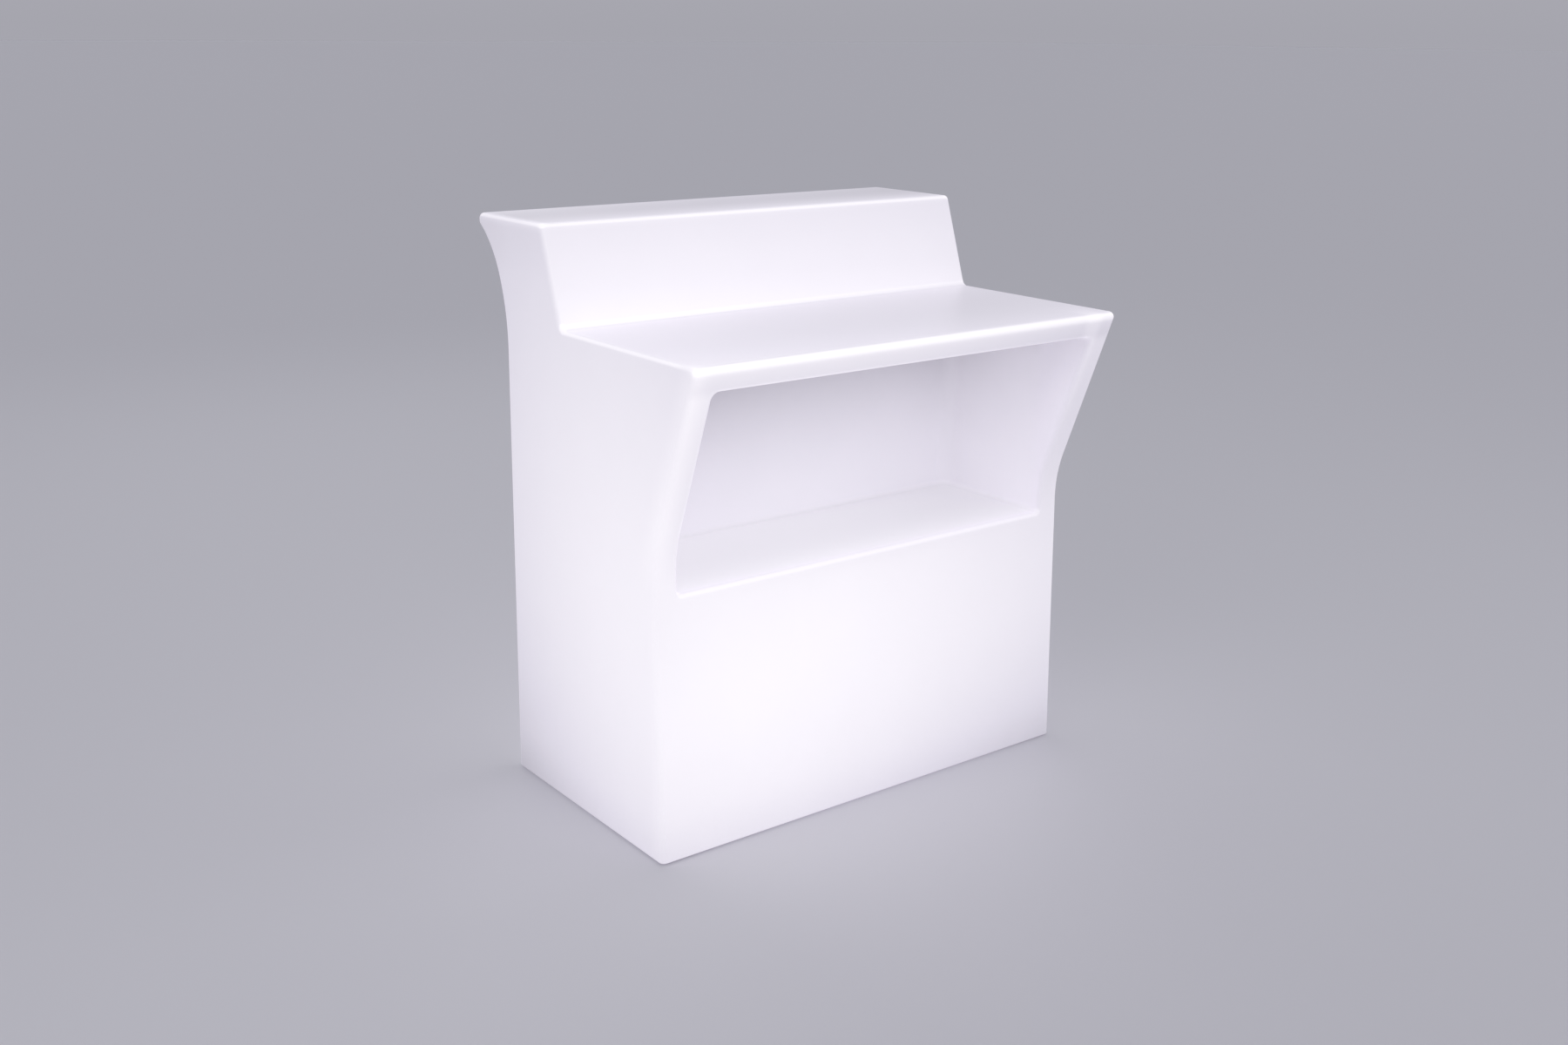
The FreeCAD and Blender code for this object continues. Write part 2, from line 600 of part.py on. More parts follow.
front_bend = rounded(shell_outer, "front_bend", body_block, "front_bend_radius",
                     lambda edge: runs_along(edge, "bend_y", "bend_height"))
riser_foot = rounded(shell_outer, "riser_foot", front_bend, "riser_foot_radius",
                     lambda edge: runs_along(edge, "riser_foot_y", "worktop_height"))
LONG_EDGES = (
    ("lip_corner_y", "worktop_height"),
    ("riser_top_y", "counter_height"),
    ("half_depth", "counter_height"),
    ("half_depth", "nose_z"),
)
long_edges = rounded(shell_outer, "long_edges", riser_foot, "edge_radius",
                     lambda edge: any(runs_along(edge, y, z) for y, z in LONG_EDGES))
end_edges = rounded(
    shell_outer, "end_edges", long_edges, "edge_radius",
    lambda edge: edge.BoundBox.XLength < value("thread_clearance")
    and edge.BoundBox.ZMax > value("base_edge_radius") + value("ground_gap"),
)

# Niche: its plan, cut upwards from shelf to roof, then its rear corners, shelf and roof rounded.
niche_plan = sketch_on(shell_outer, "niche_plan", "XY_Plane", "niche_floor_height")
outline(niche_plan, (
    ("niche_left_x", "niche_front_y"),
    ("niche_half_length", "niche_front_y"),
    ("niche_half_length", "niche_back_y"),
    ("niche_left_x", "niche_back_y"),
))
niche_cut = shell_outer.newObject("PartDesign::Pocket", "niche_cut")
niche_cut.Profile = niche_plan
niche_cut.Reversed = True
niche_cut.setExpression("Length", full("niche_height"))


def in_niche(edge):
    """Does this edge lie wholly in the niche, behind its opening?"""
    box = edge.BoundBox
    slack = value("thread_clearance")
    return (
        box.XMin > value("niche_left_x") - slack
        and box.XMax < value("niche_half_length") + slack
        and box.ZMin > value("niche_floor_height") - slack
        and box.ZMax < value("niche_top_height") + slack
        and box.YMax < value("niche_back_y") + slack
    )


def upright_at_back(edge):
    return (
        in_niche(edge)
        and edge.BoundBox.ZLength > value("niche_floor_radius")
        and close_to(edge.CenterOfMass.y, "niche_back_y")
    )


def around_niche_at(edge, height):
    """An edge of the shelf's or roof's outline, apart from the one along the opening."""
    box = edge.BoundBox
    level = abs(box.ZMax - value(height)) < value("thread_clearance")
    at_back = close_to(edge.CenterOfMass.y, "niche_back_y")
    at_front = box.XLength > value("niche_half_length") and not at_back
    return in_niche(edge) and box.ZLength < value("thread_clearance") and level and not at_front


niche_corners = rounded(shell_outer, "niche_corners", niche_cut, "niche_corner_radius", upright_at_back)
niche_shelf = rounded(shell_outer, "niche_shelf", niche_corners, "niche_floor_radius",
                      lambda edge: around_niche_at(edge, "niche_floor_height"))
niche_roof = rounded(shell_outer, "niche_roof", niche_shelf, "niche_roof_radius",
                     lambda edge: around_niche_at(edge, "niche_top_height"))

# Underside: the recess of the base cover and the pockets of the feet.
recess_plan = sketch_on(shell_outer, "recess_plan", "XY_Plane", "ground_gap")
recess_plan.addGeometry(Part.Circle(FreeCAD.Vector(0, value("base_centre_y"), 0), FreeCAD.Vector(0, 0, 1),
                                    value("recess_radius")), False)
for kind, name in (("DistanceX", "centre_x"), ("DistanceY", "base_centre_y")):
    row = recess_plan.addConstraint(Sketcher.Constraint(kind, -1, 1, 0, 3, value(name)))
    recess_plan.setExpression("Constraints[%d]" % row, full(name))
row = recess_plan.addConstraint(Sketcher.Constraint("Radius", 0, value("recess_radius")))
recess_plan.setExpression("Constraints[%d]" % row, full("recess_radius"))
recess_cut = shell_outer.newObject("PartDesign::Pocket", "recess_cut")
recess_cut.Profile = recess_plan
recess_cut.Reversed = True
recess_cut.setExpression("Length", full("recess_depth"))
doc.recompute()

pocket_plan = sketch_on(shell_outer, "pocket_plan", "XY_Plane", "ground_gap")
for index, (corner, side, end) in enumerate(CORNERS):
    centre = FreeCAD.Vector(side * value("foot_x"), value("base_centre_y") + end * value("foot_y"), 0)
    pocket = Part.Circle(centre, FreeCAD.Vector(0, 0, 1), value("foot_pocket_radius"))
    pocket_plan.addGeometry(pocket, False)
    for kind, number, formula in (
        ("DistanceX", centre.x, "%d * foot_x" % side),
        ("DistanceY", centre.y, "base_centre_y + %d * foot_y" % end),
    ):
        row = pocket_plan.addConstraint(Sketcher.Constraint(kind, -1, 1, index, 3, number))
        pocket_plan.setExpression("Constraints[%d]" % row, full(formula))
    row = pocket_plan.addConstraint(Sketcher.Constraint("Radius", index, value("foot_pocket_radius")))
    pocket_plan.setExpression("Constraints[%d]" % row, full("foot_pocket_radius"))
pocket_cut = shell_outer.newObject("PartDesign::Pocket", "pocket_cut")
pocket_cut.Profile = pocket_plan
pocket_cut.Reversed = True
pocket_cut.setExpression("Length", full("foot_pocket_depth"))
doc.recompute()

# The cavity follows the outside at one wall's distance.
shell_cavity = doc.addObject("Part::Offset", "shell_cavity")
shell_cavity.Source = shell_outer
shell_cavity.Join = 0
shell_cavity.setExpression("Value", full("-shell_wall"))
doc.recompute()


def is_rim(face):
    """The staff face, its bend and the slanted rim run past both ends of the niche."""
    box = face.BoundBox
    at_front = box.YMax < value("niche_back_y") and box.YMin < value("bend_y")
    return box.XLength > value("niche_length") and at_front


def on_niche_opening(edge, shape):
    """The opening's own edge: one of its two faces is the rim's."""
    return in_niche(edge) and any(is_rim(face) for face in shape.ancestorsOfType(edge, Part.Face))


shell_hollow = cut("shell_hollow", shell_outer, shell_cavity)
shell_bosses = []
shell_holes = [
    cylinder("access_hole", "access_radius", "2 * shell_wall", z="recess_ceiling - shell_wall / 2"),
    cylinder("vent_hole", "vent_radius", "2 * shell_wall", "vent_distance",
             z="ground_gap - shell_wall / 2"),
]
for corner, x, y in at_feet():
    shell_bosses.append(cylinder("foot_boss_" + corner, "foot_boss_radius", "foot_boss_height", x, y,
                                 "pocket_ceiling"))
    shell_holes.append(cylinder("insert_hole_" + corner, "foot_insert_radius", "foot_insert_length", x, y,
                                "pocket_ceiling"))
    shell_holes.append(cylinder("stud_room_" + corner, "stud_radius + stud_end_side_room",
                                "stud_room_length", x, y, "pocket_ceiling"))
for step, x, y in around(COVER_SCREWS, "cover_screw_circle"):
    shell_bosses.append(cylinder("cover_boss_%d" % step, "cover_boss_radius", "cover_boss_height", x, y,
                                 "recess_ceiling"))
    shell_holes.append(cylinder("cover_insert_hole_%d" % step, "cover_insert_radius",
                                "cover_insert_length", x, y, "recess_ceiling"))
shell_bossed = fuse("shell_bossed", shell_hollow, *shell_bosses)
shell_drilled = cut("shell_drilled", shell_bossed, *shell_holes)
doc.recompute()


def on_base_outline(edge):
    """An edge of the underside's outer outline, not of a pocket or the recess."""
    if edge.BoundBox.ZMax > value("ground_gap") + value("thread_clearance"):
        return False
    return not hasattr(edge.Curve, "Radius") or edge.Curve.Radius < value("foot_pocket_radius") / 2


body_shell = doc.addObject("Part::Fillet", "body_shell")
body_shell.Base = shell_drilled
opening_edges = []
for number, edge in enumerate(shell_drilled.Shape.Edges, start=1):
    if on_base_outline(edge):
        opening_edges.append((number, value("base_edge_radius"), value("base_edge_radius")))
    elif on_niche_opening(edge, shell_drilled.Shape):
        opening_edges.append((number, value("niche_edge_radius"), value("niche_edge_radius")))
body_shell.Edges = opening_edges
subpart(body_shell, "body_shell")

# Brass inserts, pressed into the moulded bosses.
foot_inserts = [
    tube("foot_insert_" + corner, "foot_insert_radius", "foot_bore_radius", "foot_insert_length", x, y,
         "pocket_ceiling")
    for corner, x, y in at_feet()
]
subpart(group("foot_insert_group", foot_inserts), "foot_inserts")
cover_inserts = [
    tube("cover_insert_%d" % step, "cover_insert_radius", "cover_screw_radius", "cover_insert_length", x, y,
         "recess_ceiling")
    for step, x, y in around(COVER_SCREWS, "cover_screw_circle")
]
subpart(group("cover_insert_group", cover_inserts), "cover_inserts")

# Breather plug: keeps the air in the hollow body level with the air outside.
vent_flange = cylinder("vent_flange", "vent_flange_radius", "vent_flange_height", "vent_distance",
                       z="ground_gap - vent_flange_height")
vent_stem = cylinder("vent_stem", "vent_radius", "shell_wall + vent_inside", "vent_distance",
                     z="ground_gap")
vent_bore = cylinder("vent_bore", "vent_bore_radius", "shell_wall + vent_inside + vent_flange_height",
                     "vent_distance", z="ground_gap - vent_flange_height")
subpart(cut("vent_plug_cut", fuse("vent_plug_solid", vent_flange, vent_stem), vent_bore), "vent_plug")

# Levelling feet: a nylon foot on a threaded stud, with a rubber sole, wound up into its pocket.
locknuts = []
for corner, x, y in at_feet():
    flange = cylinder("foot_flange_" + corner, "foot_flange_radius", "foot_flange_height", x, y,
                      "sole_thickness")
    grip = hexagon("foot_grip_" + corner, "foot_grip_width", "foot_grip_height", x, y, "foot_flange_top")
    stud_seat = cylinder("stud_seat_" + corner, "stud_radius", "stud_embedment", x, y, "stud_under")
    foot = cut("foot_cut_" + corner, fuse("foot_solid_" + corner, flange, grip), stud_seat)
    subpart(foot, "foot_base_" + corner)
    stud = cylinder("stud_" + corner, "stud_radius", "stud_length", x, y, "stud_under")
    subpart(stud, "foot_stud_" + corner)
    subpart(cylinder("sole_" + corner, "sole_radius", "sole_thickness", x, y), "foot_sole_" + corner)
    nut = hexagon("locknut_hexagon_" + corner, "locknut_width", "locknut_height", x, y, "locknut_under")
    nut_bore = cylinder("locknut_bore_" + corner, "foot_bore_radius", "locknut_height", x, y,
                        "locknut_under")
    locknuts.append(cut("locknut_" + corner, nut, nut_bore))
subpart(group("locknut_group", locknuts), "foot_locknuts")

# Base cover: a round plate with ribs, which carries the whole light kit.
cover_disc = cylinder("cover_disc", "cover_radius", "cover_thickness", z="cover_under")
cover_ribs = [tube("cover_rib_ring", "cover_rib_ring_radius", "cover_rib_ring_radius - cover_rib_width",
                   "cover_rib_height", z="cover_under - cover_rib_height")]


def turned(name, thing, angle):
    """A piece turned about the lamp's axis. Its own places are counted from that axis."""
    made = group(name, [thing])
    made.Placement = FreeCAD.Placement(FreeCAD.Vector(), FreeCAD.Rotation(FreeCAD.Vector(0, 0, 1), angle))
    return placed(made, "0", "base_centre_y", "0")


for step in range(COVER_SCREWS):
    rib = block("cover_rib_bar_%d" % step, "cover_rib_end_radius - cover_rib_ring_radius + cover_rib_width",
                "cover_rib_width", "cover_rib_height",
                "(cover_rib_end_radius + cover_rib_ring_radius - cover_rib_width) / 2", "0",
                "cover_under - cover_rib_height")
    cover_ribs.append(turned("cover_rib_%d" % step, rib, 360.0 * (step + 0.5) / COVER_SCREWS))
LUG_Y = "base_centre_y + socket_y %s (cap_strap_width + cap_lug_width) / 2 %s cap_gap"
cap_lugs = [
    block("cap_lug_%d" % number, "2 * cap_hinge_radius", "cap_lug_width",
          "cover_under - cap_hinge_z + cap_hinge_radius", "cap_hinge_x", LUG_Y % (sign, sign),
          "cap_hinge_z - cap_hinge_radius")
    for number, sign in enumerate("-+")
]
PIN_LENGTH = "cap_strap_width + 2 * (cap_lug_width + cap_gap)"


def along_y(name, radius, length, x, z):
    """A round bar along +Y, centred on the strap of the charging cap."""
    made = doc.addObject("Part::Cylinder", name)
    made.setExpression("Radius", full(radius))
    made.setExpression("Height", full(length))
    made.Placement = FreeCAD.Placement(FreeCAD.Vector(), FreeCAD.Rotation(FreeCAD.Vector(1, 0, 0), -90))
    return placed(made, x, "base_centre_y + socket_y - (%s) / 2" % length, z)


cover_holes = [
    cylinder("socket_hole", "socket_hole_radius", "cover_thickness", "socket_x", "base_centre_y + socket_y",
             "cover_under"),
    cylinder("button_hole", "button_hole_radius", "cover_thickness", "button_x", "base_centre_y + button_y",
             "cover_under"),
    cylinder("lens_hole", "lens_hole_radius", "cover_thickness", "lens_x", "base_centre_y + lens_y",
             "cover_under"),
    along_y("cap_pin_hole", "cap_pin_radius", PIN_LENGTH, "cap_hinge_x", "cap_hinge_z"),
]
gasket_holes = []
for step, x, y in around(COVER_SCREWS, "cover_screw_circle"):
    cover_holes.append(cylinder("cover_hole_%d" % step, "cover_hole_radius", "cover_thickness", x, y,
                                "cover_under"))
    gasket_holes.append(cylinder("gasket_hole_%d" % step, "cover_hole_radius", "gasket_thickness", x, y,
                                 "cover_top"))
for step, x, y in around(HOUSING_SCREWS, "housing_screw_circle"):
    cover_holes.append(cylinder("cover_pilot_%d" % step, "small_screw_radius",
                                "cover_top - housing_screw_tip", x, y, "housing_screw_tip"))
cover_solid = fuse("cover_solid", cover_disc, *cover_ribs, *cap_lugs)
subpart(cut("cover_cut", cover_solid, *cover_holes), "base_cover")
gasket_ring = tube("gasket_ring", "gasket_outer_radius", "gasket_inner_radius", "gasket_thickness",
                   z="cover_top")
subpart(cut("gasket_cut", gasket_ring, *gasket_holes), "cover_gasket")

cover_screws = []
cover_washers = []
for step, x, y in around(COVER_SCREWS, "cover_screw_circle"):
    head = cylinder("cover_head_%d" % step, "cover_head_radius", "cover_head_height", x, y,
                    "cover_head_under")
    shank = cylinder("cover_shank_%d" % step, "cover_screw_radius", "cover_screw_length", x, y,
                     "washer_under")
    socket = hexagon("cover_drive_%d" % step, "cover_socket_width", "cover_socket_depth", x, y,
                     "cover_head_under")
    cover_screws.append(cut("cover_screw_%d" % step, fuse("cover_bolt_%d" % step, head, shank), socket))
    cover_washers.append(tube("cover_washer_%d" % step, "washer_radius", "cover_hole_radius",
                              "washer_thickness", x, y, "washer_under"))
subpart(group("cover_screw_group", cover_screws), "cover_screws")
subpart(group("cover_washer_group", cover_washers), "cover_washers")

# Kit housing: an inverted tub with a flange, sealed on the cover.
housing_tub = cylinder("housing_tub", "housing_radius", "housing_height", z="housing_under")
housing_flange = cylinder("housing_flange", "housing_flange_radius", "housing_flange_height",
                          z="housing_under")
housing_holes = [
    cylinder("housing_room", "housing_inner_radius", "housing_height - housing_wall", z="housing_under"),
    cylinder("housing_lead_hole", "lamp_hole_radius", "housing_wall", z="housing_roof_under"),
]
seal_holes = []
housing_screws = []
for step, x, y in around(HOUSING_SCREWS, "housing_screw_circle"):
    housing_holes.append(cylinder("flange_hole_%d" % step, "small_screw_radius + screw_clearance",
                                  "housing_flange_height", x, y, "housing_under"))
    seal_holes.append(cylinder("seal_hole_%d" % step, "small_screw_radius + screw_clearance",
                               "housing_seal_thickness", x, y, "cover_top"))
    head = cylinder("housing_head_%d" % step, "small_head_radius", "small_head_height", x, y,
                    "housing_head_seat")
    shank = cylinder("housing_shank_%d" % step, "small_screw_radius", "housing_screw_length", x, y,
                     "housing_screw_tip")
    housing_screws.append(fuse("housing_screw_%d" % step, head, shank))
plate_holes = []
ring_holes = []
ring_screws = []
for step, x, y in around(RING_SCREWS, "ring_screw_circle"):
    housing_holes.append(cylinder("roof_pilot_%d" % step, "small_screw_radius", "housing_wall", x, y,
                                  "housing_roof_under"))
    plate_holes.append(cylinder("plate_hole_%d" % step, "small_screw_radius + screw_clearance",
                                "lamp_base_thickness", x, y, "housing_top"))
    ring_holes.append(cylinder("ring_hole_%d" % step, "small_screw_radius + screw_clearance",
                               "ring_top - lamp_plate_top", x, y, "lamp_plate_top"))
    head = cylinder("ring_head_%d" % step, "small_head_radius", "small_head_height", x, y, "ring_top")
    shank = cylinder("ring_shank_%d" % step, "small_screw_radius", "ring_screw_length", x, y,
                     "ring_screw_tip")
    ring_screws.append(fuse("ring_screw_%d" % step, head, shank))
housing_solid = fuse("housing_solid", housing_tub, housing_flange)
subpart(cut("housing_cut", housing_solid, *housing_holes), "kit_housing")
seal_ring = tube("seal_ring", "housing_flange_radius", "housing_inner_radius", "housing_seal_thickness",
                 z="cover_top")
subpart(cut("seal_cut", seal_ring, *seal_holes), "housing_seal")
subpart(group("housing_screw_group", housing_screws), "housing_screws")

# Battery: round cells in a tray bonded to the cover, held down by a screwed strap.
tray_block = block("tray_block", "tray_length", "tray_width", "clamp_under - cover_top", "-tray_offset",
                   z="cover_top")
tray_room = block("tray_room", "tray_length - 2 * tray_wall", "tray_inner_width",
                  "clamp_under - tray_floor_top", "-tray_offset", z="tray_floor_top")
clamp_strap = block("clamp_strap", "clamp_width", "tray_width", "clamp_thickness", "-tray_offset",
                    z="clamp_under")
tray_pilots = []
clamp_holes = []
clamp_screws = []
for number, x, y in four_about("-tray_offset", "base_centre_y", "clamp_screw_x", "tray_wall_y"):
    tray_pilots.append(cylinder("tray_pilot_%d" % number, "tiny_screw_radius",
                                "clamp_under - clamp_screw_tip", x, y, "clamp_screw_tip"))
    clamp_holes.append(cylinder("clamp_hole_%d" % number, "tiny_screw_radius + screw_clearance / 2",
                                "clamp_thickness", x, y, "clamp_under"))
    head = cylinder("clamp_head_%d" % number, "tiny_head_radius", "tiny_head_height", x, y, "clamp_top")
    shank = cylinder("clamp_shank_%d" % number, "tiny_screw_radius", "tiny_screw_length", x, y,
                     "clamp_screw_tip")
    clamp_screws.append(fuse("clamp_screw_%d" % number, head, shank))
subpart(cut("tray_cut", tray_block, tray_room, *tray_pilots), "battery_tray")
subpart(cut("clamp_cut", clamp_strap, *clamp_holes), "battery_clamp")
subpart(group("clamp_screw_group", clamp_screws), "clamp_screws")
cells = []
for layer in range(CELL_LAYERS):
    for lane in range(CELLS_ACROSS):
        cell = doc.addObject("Part::Cylinder", "cell_%d_%d" % (layer, lane))
        cell.setExpression("Radius", full("cell_radius"))
        cell.setExpression("Height", full("cell_length"))
        cell.Placement = FreeCAD.Placement(FreeCAD.Vector(), FreeCAD.Rotation(FreeCAD.Vector(0, 1, 0), 90))
        placed(cell, "-tray_offset - cell_length / 2",
               "base_centre_y + (%d - %d / 2) * cell_pitch" % (lane, CELLS_ACROSS - 1),
               "lower_cell_z + %d * cell_pitch" % layer)
        cells.append(cell)
subpart(group("cell_group", cells), "battery_cells")

# Control board on four pillars, with what is soldered to it.
board_plate = block("board_plate", "board_length", "board_width", "board_thickness", "board_offset",
                    "base_centre_y + board_shift", "board_under")
board_holes = []
pillars = []
board_screws = []
for number, x, y in four_about("board_offset", "base_centre_y + board_shift", "board_hole_x",
                               "board_hole_y"):
    board_holes.append(cylinder("board_hole_%d" % number, "tiny_screw_radius + screw_clearance / 2",
                                "board_thickness", x, y, "board_under"))
    pillars.append(tube("pillar_%d" % number, "pillar_radius", "tiny_screw_radius", "pillar_height", x, y,
                        "cover_top"))
    head = cylinder("board_head_%d" % number, "tiny_head_radius", "tiny_head_height", x, y, "board_top")
    shank = cylinder("board_shank_%d" % number, "tiny_screw_radius", "tiny_screw_length", x, y,
                     "board_screw_tip")
    board_screws.append(fuse("board_screw_%d" % number, head, shank))
subpart(cut("board_cut", board_plate, *board_holes), "control_board")
subpart(group("pillar_group", pillars), "board_pillars")
subpart(group("board_screw_group", board_screws), "board_screws")
board_pieces = [
    block("battery_plug", "plug_length", "plug_width", "plug_height", "battery_plug_x",
          "base_centre_y + battery_plug_y", "board_top"),
    block("charge_plug", "plug_width", "plug_length", "plug_height", "charge_plug_x",
          "base_centre_y + board_edge_plug_y", "board_top"),
    block("button_plug", "plug_width", "plug_length", "plug_height", "button_plug_x",
          "base_centre_y + board_edge_plug_y", "board_top"),
    block("lamp_plug", "plug_width", "plug_width", "plug_height", "lamp_plug_x",
          "base_centre_y + lamp_plug_y", "board_top"),
    block("choke", "coil_side", "coil_side", "coil_height", "choke_x", "base_centre_y + choke_y",
          "board_top"),
    cylinder("capacitor", "capacitor_radius", "capacitor_height", "lamp_plug_x",
             "base_centre_y + capacitor_y", "board_top"),
    block("control_chip", "chip_side", "chip_side", "chip_height", "chip_x", "base_centre_y + chip_y",
          "board_top"),
]
subpart(group("board_piece_group", board_pieces), "board_components")
subpart(block("receiver", "receiver_length", "receiver_width", "receiver_height", "receiver_x",
              "base_centre_y + receiver_y", "board_top"), "remote_receiver")

# Lamp column: light boards round a hexagonal tube, on a plate over the housing.
lamp_disc = tube("lamp_disc", "ring_radius", "lamp_hole_radius", "lamp_base_thickness", z="housing_top")
subpart(cut("lamp_base_cut", lamp_disc, *plate_holes), "lamp_base")
core_solid = hexagon("core_solid", "core_width", "core_height", z="lamp_plate_top")
core_room = hexagon("core_room", "core_inner_width", "core_height", z="lamp_plate_top")
subpart(cut("core_cut", core_solid, core_room), "lamp_core")
cap_plate = hexagon("cap_plate", "core_width", "core_cap_thickness", z="core_top")
cap_spigot = hexagon("cap_spigot", "core_inner_width", "core_cap_spigot", z="core_top - core_cap_spigot")
subpart(fuse("core_cap_solid", cap_plate, cap_spigot), "core_cap")
light_boards = []
chips = []
for side in range(HEXAGON_SIDES):
    angle = 360.0 * (side + 0.5) / HEXAGON_SIDES
    board = block("light_board_bar_%d" % side, "led_board_thickness", "led_board_width", "led_board_length",
                  "(core_width + led_board_thickness) / 2", "0", "led_board_under")
    light_boards.append(turned("light_board_%d" % side, board, angle))
    for step in range(LEDS_PER_BOARD):
        chip = block("chip_block_%d_%d" % (side, step), "led_height", "led_side", "led_side",
                     "led_board_face + led_height / 2", "0",
                     "led_board_under + (%d + 1 / 2) * led_board_length / %d - led_side / 2"
                     % (step, LEDS_PER_BOARD))
        chips.append(turned("chip_%d_%d" % (side, step), chip, angle))
subpart(group("light_board_group", light_boards), "led_boards")
subpart(group("chip_group", chips), "led_chips")
subpart(block("terminal", "terminal_width", "core_inner_width", "terminal_height",
              z="lamp_plate_top + terminal_rise"), "terminal_bar")
grommet_sleeve = cylinder("grommet_sleeve", "lamp_hole_radius", "housing_wall", z="housing_roof_under")
grommet_flange = cylinder("grommet_flange", "grommet_flange_radius", "grommet_flange_height",
                          z="housing_roof_under - grommet_flange_height")
grommet_hole = cylinder("grommet_hole", "grommet_bore", "housing_wall + grommet_flange_height",
                        z="housing_roof_under - grommet_flange_height")
grommet_solid = fuse("grommet_solid", grommet_sleeve, grommet_flange)
subpart(cut("grommet_cut", grommet_solid, grommet_hole), "lamp_grommet")

# Diffuser: a frosted tube with a domed end, sealed and clamped on the plate.
diffuser_solid = fuse(
    "diffuser_solid",
    cylinder("diffuser_tube", "diffuser_radius", "diffuser_straight", z="diffuser_under"),
    sphere("diffuser_dome", "diffuser_radius", z="diffuser_shoulder"),
    cylinder("diffuser_flange", "diffuser_flange_radius", "diffuser_flange_height", z="diffuser_under"),
)
diffuser_room = fuse(
    "diffuser_room",
    cylinder("diffuser_bore", "diffuser_inner_radius", "diffuser_straight", z="diffuser_under"),
    sphere("diffuser_dome_room", "diffuser_inner_radius", z="diffuser_shoulder"),
)
subpart(cut("diffuser_cut", diffuser_solid, diffuser_room), "lamp_diffuser")
subpart(tube("diffuser_washer", "diffuser_flange_radius", "diffuser_inner_radius",
             "diffuser_seal_thickness", z="lamp_plate_top"), "diffuser_seal")
ring_solid = cylinder("ring_solid", "ring_radius", "ring_top - lamp_plate_top", z="lamp_plate_top")
ring_seat = cylinder("ring_seat", "diffuser_flange_radius + ring_clearance",
                     "diffuser_flange_top - lamp_plate_top", z="lamp_plate_top")
ring_bore = cylinder("ring_bore", "diffuser_radius + ring_clearance", "ring_top - lamp_plate_top",
                     z="lamp_plate_top")
subpart(cut("ring_cut", ring_solid, ring_seat, ring_bore, *ring_holes), "diffuser_ring")
subpart(group("ring_screw_group", ring_screws), "ring_screws")

# Charging inlet with its nut, and the rubber cap that swings down from it on a pin.
SOCKET_Y = "base_centre_y + socket_y"
socket_barrel = cylinder("socket_barrel", "socket_radius",
                         "cover_top + socket_length - socket_flange_under", "socket_x", SOCKET_Y,
                         "socket_flange_under")
socket_flange = cylinder("socket_flange", "socket_flange_radius", "socket_flange_height", "socket_x",
                         SOCKET_Y, "socket_flange_under")
socket_bore = cylinder("socket_bore", "socket_bore_radius", "socket_bore_depth", "socket_x", SOCKET_Y,
                       "socket_flange_under")
socket_pin = cylinder("socket_pin", "socket_pin_radius", "socket_bore_depth - socket_pin_setback",
                      "socket_x", SOCKET_Y, "socket_flange_under + socket_pin_setback")
socket_shell = cut("socket_shell", fuse("socket_solid", socket_barrel, socket_flange), socket_bore)
subpart(fuse("socket_whole", socket_shell, socket_pin), "charge_socket")
socket_nut = hexagon("socket_nut", "socket_nut_width", "socket_nut_height", "socket_x", SOCKET_Y,
                     "cover_top")
socket_nut_bore = cylinder("socket_nut_bore", "socket_radius", "socket_nut_height", "socket_x", SOCKET_Y,
                           "cover_top")
subpart(cut("socket_nut_cut", socket_nut, socket_nut_bore), "charge_socket_nut")
cap_disc = cylinder("cap_disc", "cap_radius", "cap_thickness", "socket_x", SOCKET_Y, "cap_under")
cap_plug = cylinder("cap_plug", "cap_plug_radius", "cap_plug_height", "socket_x", SOCKET_Y, "cap_top")
cap_strap = block("cap_strap", "cap_strap_reach", "cap_strap_width", "cap_thickness",
                  "socket_x - cap_strap_reach / 2", SOCKET_Y, "cap_under")
cap_roll = along_y("cap_roll", "cap_hinge_radius", "cap_strap_width", "cap_hinge_x", "cap_hinge_z")
cap_roll_bore = along_y("cap_roll_bore", "cap_pin_bore", "cap_strap_width", "cap_hinge_x", "cap_hinge_z")
cap_solid = fuse("cap_solid", cap_disc, cap_plug, cap_strap, cap_roll)
subpart(cut("cap_cut", cap_solid, cap_roll_bore), "charge_cap")
subpart(along_y("cap_pin", "cap_pin_radius", PIN_LENGTH, "cap_hinge_x", "cap_hinge_z"), "cap_hinge_pin")

# Push-button: a barrel with a bezel, and a sprung cap that its collar keeps in.
BUTTON_Y = "base_centre_y + button_y"
button_barrel = cylinder("button_barrel", "button_barrel_radius",
                         "cover_thickness + button_barrel_length", "button_x", BUTTON_Y, "cover_under")
button_bezel = cylinder("button_bezel", "button_bezel_radius", "button_bezel_height", "button_x",
                        BUTTON_Y, "button_bezel_under")
button_mouth = cylinder("button_mouth", "button_radius + button_clearance", "button_bezel_height",
                        "button_x", BUTTON_Y, "button_bezel_under")
button_room = cylinder("button_room", "button_collar_radius + button_clearance",
                       "button_room_top - cover_under", "button_x", BUTTON_Y, "cover_under")
button_solid = fuse("button_housing_solid", button_barrel, button_bezel)
subpart(cut("button_housing_cut", button_solid, button_mouth, button_room), "button_housing")
button_nut = hexagon("button_nut_hexagon", "button_nut_width", "button_nut_height", "button_x", BUTTON_Y,
                     "cover_top")
button_nut_bore = cylinder("button_nut_bore", "button_barrel_radius", "button_nut_height", "button_x",
                           BUTTON_Y, "cover_top")
subpart(cut("button_nut_cut", button_nut, button_nut_bore), "button_nut")
button_stem = cylinder("button_stem", "button_radius", "button_collar_top - button_under", "button_x",
                       BUTTON_Y, "button_under")
